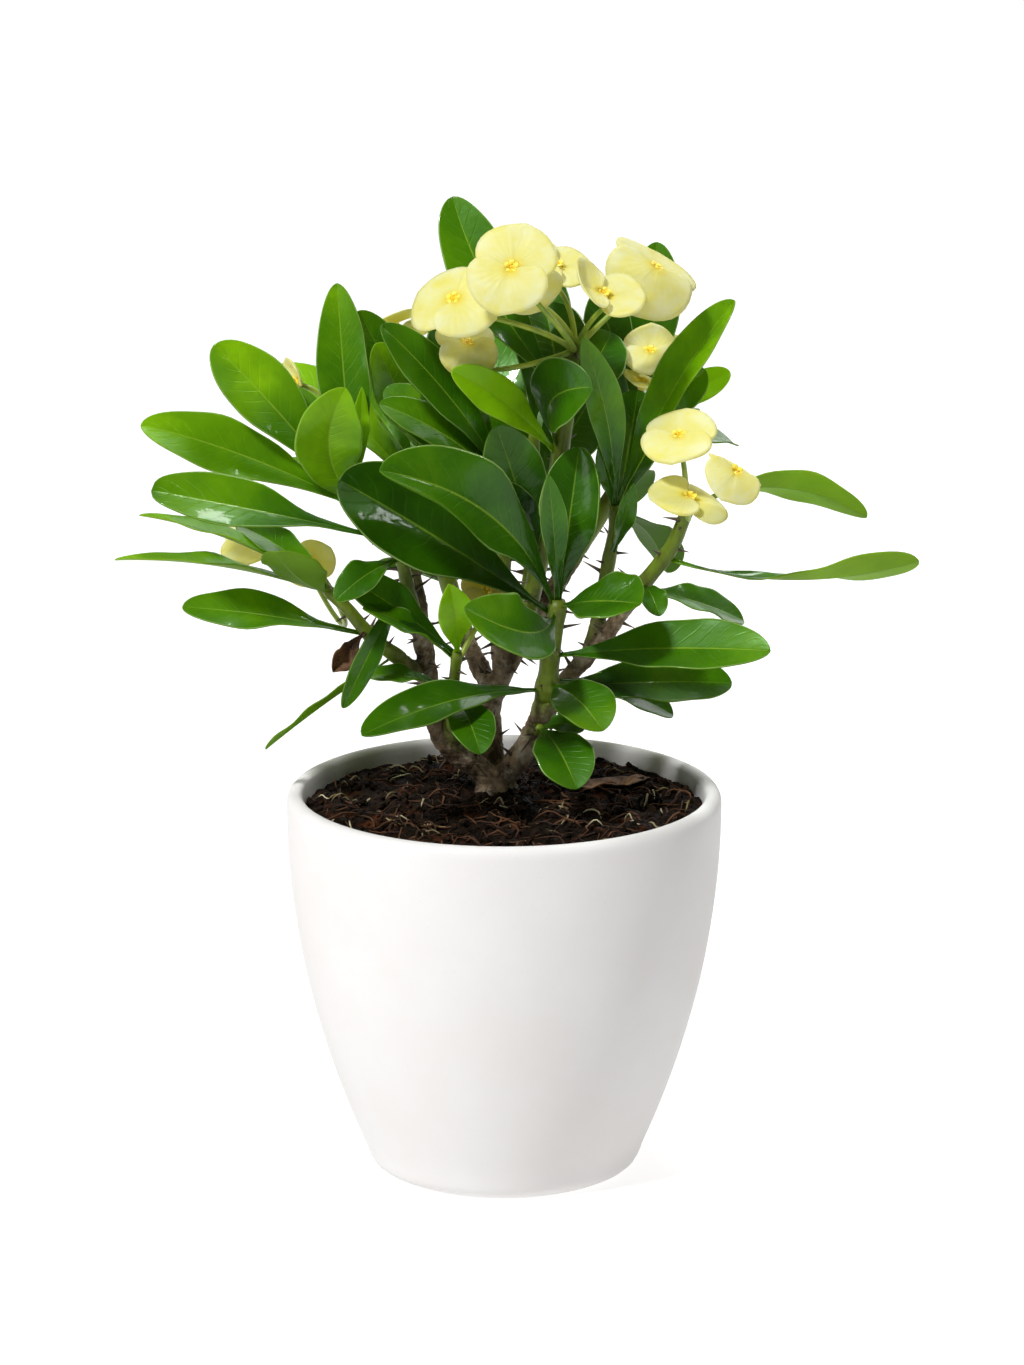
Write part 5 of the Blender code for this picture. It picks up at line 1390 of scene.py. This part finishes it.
@dataclass
class LeafyShoot:
    """One green stem with its thorns, leaves and flower stalks."""
    shoot: Shoot
    order: int
    thickness: float = 0.5

    def build(self, palette: Palette, rule: ThornRule) -> None:
        """Models and dresses the shoot."""
        self.build_stem(palette)
        self.build_leaves(palette)
        stem = self.shoot.stem()
        radii = self.shoot.radii()[self.shoot.split():]
        places = rule.places(self.shoot, stem, radii, self.order + 50)
        places += rule.places(self.shoot, stem, radii, self.order + 150, 0.5)
        if places:
            settle(rule.build(f"{self.shoot.name}_thorns", places, palette), Slot.BARK)
        if self.shoot.blooms:
            self.build_stalks(palette)

    def build_stem(self, palette: Palette) -> None:
        """The stem, with a slight swelling at each leaf."""
        path, radii = self.shoot.stem(), self.shoot.radii()[self.shoot.split():]
        shares = np.linspace(0, 1, BLANKS.bar_rings)
        thick = np.interp(shares, shares_of(path), radii)
        for leaf in self.shoot.leaves:
            thick = thick * (1 + 0.09 * np.exp(-((shares - leaf.at) / 0.05) ** 2))
        thick[-1] *= 0.75
        places = BLANKS.bent_bar(BLANKS.bar, along_path(path, shares), thick)
        green = 0.62 + 0.5 * smooth_step(BLANKS.bar.blade[:, 1], 0.0, 22.0 / max(length_of(path), 22.0))
        settle(BLANKS.bar.copies(f"{self.shoot.name}_stem", [places], (palette.bark,),
                                 {"green": green[None]}), Slot.LEAF)

    def build_leaves(self, palette: Palette) -> None:
        """All the leaves, glossy above and dull below."""
        draw = Random(self.order + 7)
        stem, shapes, tones = self.shoot.stem(), [], []
        for leaf in self.shoot.leaves:
            grid = leaf.surface(leaf.foot(stem, self.shoot.radius[1]), BLANKS.along, BLANKS.across)
            shapes.append(grid.reshape(-1, 3)[BLANKS.leaf_order])
            tones.append(leaf.tone.value + draw.uniform(-0.05, 0.05))
        piece = BLANKS.leaf.copies(f"{self.shoot.name}_leaves", shapes,
                                   (palette.upper, palette.under, palette.under), {"tone": np.array(tones)})
        apply(piece, "SOLIDIFY", thickness=self.thickness * MM, offset=0.0, material_offset=1,
              material_offset_rim=2)
        settle(piece, Slot.LEAF, self.shoot.name)

    def build_stalks(self, palette: Palette) -> None:
        """The flower stalks, from the stem's top to each bloom."""
        shapes = []
        shares = np.linspace(0, 1, BLANKS.stalk_rings)
        for bloom in self.shoot.blooms:
            radii = np.interp(shares, (0, 0.15, 0.9, 1.0), (1.35, 1.15, 0.95, 1.3))
            shapes.append(BLANKS.bent_bar(BLANKS.stalk, along_path(self.shoot.stalk(bloom), shares), radii))
        settle(BLANKS.stalk.copies(f"{self.shoot.name}_stalks", shapes, (palette.stalk,)), Slot.LEAF)


@dataclass
class Flower:
    """One bloom: two bracts and the cup between them."""
    bloom: Bloom
    number: int
    # How much painted shade darkens the bracts.
    dull: float = 0.0
    thickness: float = 0.6

    def build(self, palette: Palette) -> None:
        """Models and dresses the bloom."""
        shapes = [self.bloom.bract(half_turn, BLANKS.reach, BLANKS.fan).reshape(-1, 3)[BLANKS.bract_order]
                  for half_turn in (0, 1)]
        # The tone mark carries the painted shade.
        piece = BLANKS.bract.copies(f"bracts_{self.number:02d}", shapes, (palette.bract,),
                                    {"tone": np.full(2, self.dull)})
        apply(piece, "SOLIDIFY", thickness=self.thickness * MM, offset=0.0)
        settle(piece, Slot.BRACT, f"bloom_{self.number:02d}")
        normal, _ = self.bloom.directions()
        place = np.array(self.bloom.at) - normal * 0.3
        cup = BLANKS.turned_to(BLANKS.cup, place, normal, 1.0, 1.0)
        settle(BLANKS.cup.copies(f"cup_{self.number:02d}", [cup],
                                 (palette.cup, palette.gland, palette.pollen)), Slot.BRACT)


@dataclass
class DryLeaves:
    """The withered leaf that hangs on a low stem and the one that lies on the soil."""
    hanging: Leaf = Leaf(0.0, (-66, -15, 203), 13, (0.4, -0.9, 0.3), -3, fold=42, wave=1.6)
    hanging_foot: tuple = (-54.0, -11.7, 218.0)
    fallen_foot: tuple = (27.0, 16.0)
    fallen_tip: tuple = (58.0, 30.0)
    fallen_width: float = 13.0

    def build(self, palette: Palette, soil: PottingSoil) -> None:
        """Models and dresses both leaves."""
        foot = np.array(self.hanging_foot) + (0.4, 0.9, -0.2)
        grid = self.hanging.surface(foot, BLANKS.along, BLANKS.across)
        self.leaf("dried_leaf_curl", grid, palette, "dried_leaf")
        foot, tip = np.array(self.fallen_foot), np.array(self.fallen_tip)
        side = np.array((tip[1] - foot[1], foot[0] - tip[0])) / np.linalg.norm(tip - foot)
        share = BLANKS.along[:, None]
        half = self.fallen_width / 2 * np.maximum(0.04, np.sin(math.pi * share ** 1.3) ** 0.8)
        across = BLANKS.across[None]
        spots = foot + (tip - foot) * share[..., None] + side * (half * across)[..., None]
        heights = np.vectorize(soil.height)(spots[..., 0], spots[..., 1])
        rise = 1.3 + 1.6 * np.abs(across) * np.sin(math.pi * share) + 0.5 * np.sin(17 * share + 2 * across)
        grid = np.concatenate([spots, (heights + rise)[..., None]], axis=-1)
        self.leaf("fallen_leaf_curl", grid, palette, "fallen_leaf")

    def leaf(self, name: str, grid: np.ndarray, palette: Palette, node: str) -> None:
        """One withered blade over a grid of points."""
        crumple = np.array([noise.noise(Vector(spot) / 3.0) for spot in grid.reshape(-1, 3)])
        places = grid.reshape(-1, 3) + crumple[:, None] * (0.2, 0.2, 0.9)
        piece = BLANKS.leaf.copies(name, [places[BLANKS.leaf_order]], (palette.dry,))
        apply(piece, "SOLIDIFY", thickness=0.45 * MM, offset=0.0)
        settle(piece, Slot.DRY, node)


@dataclass
class Studio:
    """A pale floor, soft light from the left and above, and the camera."""
    camera_place: tuple = (0.0031, -2.127, 0.745)
    pitch: float = 14.5
    lens: float = 149.0

    def build(self) -> None:
        """Makes the floor, the lights, the world and the camera."""
        self.build_floor()
        self.sun("day", (-0.50, -0.60, 0.98), 3.0, 8.0)
        self.light("window", (-1.40, -0.45, 0.85), (0, 0, 0.24), 0.8, 5.5)
        self.light("behind", (0.42, 1.10, 0.80), (0, 0.02, 0.26), 1.1, 6.5)
        self.light("overhead", (0.25, 0.30, 1.35), (0, 0.02, 0.26), 0.22, 5.0)
        self.light("glint", (1.00, -0.10, 1.20), (0, 0, 0.26), 0.15, 1.8)
        world = bpy.data.worlds.new("studio_world")
        world.use_nodes = True
        sky = world.node_tree.nodes["Background"]
        sky.inputs[0].default_value = (1.0, 0.98, 0.95, 1.0)
        sky.inputs[1].default_value = 0.06
        bpy.context.scene.world = world
        bpy.context.scene.view_settings.view_transform = "Standard"
        deselect()
        bpy.ops.object.camera_add(location=self.camera_place,
                                  rotation=(math.radians(90 - self.pitch), 0.0, 0.0))
        camera = bpy.context.object
        camera.name = "camera"
        camera.data.sensor_fit = "VERTICAL"
        camera.data.sensor_height = 36.0
        camera.data.lens = self.lens
        camera.data.clip_end = 50.0
        bpy.context.scene.camera = camera

    def build_floor(self) -> None:
        """A wide pale floor."""
        deselect()
        bpy.ops.mesh.primitive_plane_add(size=90.0, location=(0, 0, 0))
        floor = bpy.context.object
        floor.name = "floor"
        mix = Recipe("floor_white")
        floor.data.materials.append(mix.finish(Base_Color=(0.35, 0.35, 0.35), Roughness=1.0,
                                               Specular_IOR_Level=0.0, Emission_Color=(1.0, 0.99, 0.98),
                                               Emission_Strength=0.80))

    @staticmethod
    def sun(name: str, away: tuple, strength: float, width: float) -> None:
        """A soft sun.

        Args:
            name: The light's name.
            away: The way from the plant to the light.
            strength: Its strength.
            width: How wide it looks, in degrees.
        """
        deselect()
        bpy.ops.object.light_add(type="SUN", location=away)
        lamp = bpy.context.object
        lamp.name = name
        lamp.data.energy = strength
        lamp.data.angle = math.radians(width)
        lamp.rotation_euler = Vector(away).to_track_quat("Z", "Y").to_euler()

    @staticmethod
    def light(name: str, place: tuple, target: tuple, size: float, power: float) -> None:
        """A square soft light that looks at a target.

        Args:
            name: The light's name.
            place: Where it stands, in metres.
            target: What it looks at.
            size: The length of its side.
            power: Its power in watts.
        """
        deselect()
        bpy.ops.object.light_add(type="AREA", location=place)
        lamp = bpy.context.object
        lamp.name = name
        lamp.data.size = size
        lamp.data.energy = power
        lamp.rotation_euler = (Vector(target) - Vector(place)).to_track_quat("-Z", "Y").to_euler()


BLANKS: Blanks


def main() -> None:
    """Builds every piece in order."""
    global BLANKS
    logging.basicConfig(level=logging.INFO, format="%(name)s: %(message)s")
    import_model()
    Studio().build()
    BLANKS = Blanks()
    palette = Palette()
    rule = ThornRule()
    PlantPot().build(palette)
    soil = PottingSoil()
    soil.build(palette)
    WoodyTrunk().build(palette, rule)
    DryLeaves().build(palette, soil)
    number = 0
    for order, shoot in enumerate(SHOOTS):
        LeafyShoot(shoot, order).build(palette, rule)
        for bloom in shoot.blooms:
            number += 1
            # The bloom on the low middle shoot gets painted shade on its bracts.
            Flower(bloom, number, 0.75 if shoot.name == "shoot_low_middle" else 0.0).build(palette)


if __name__ == "__main__":
    main()
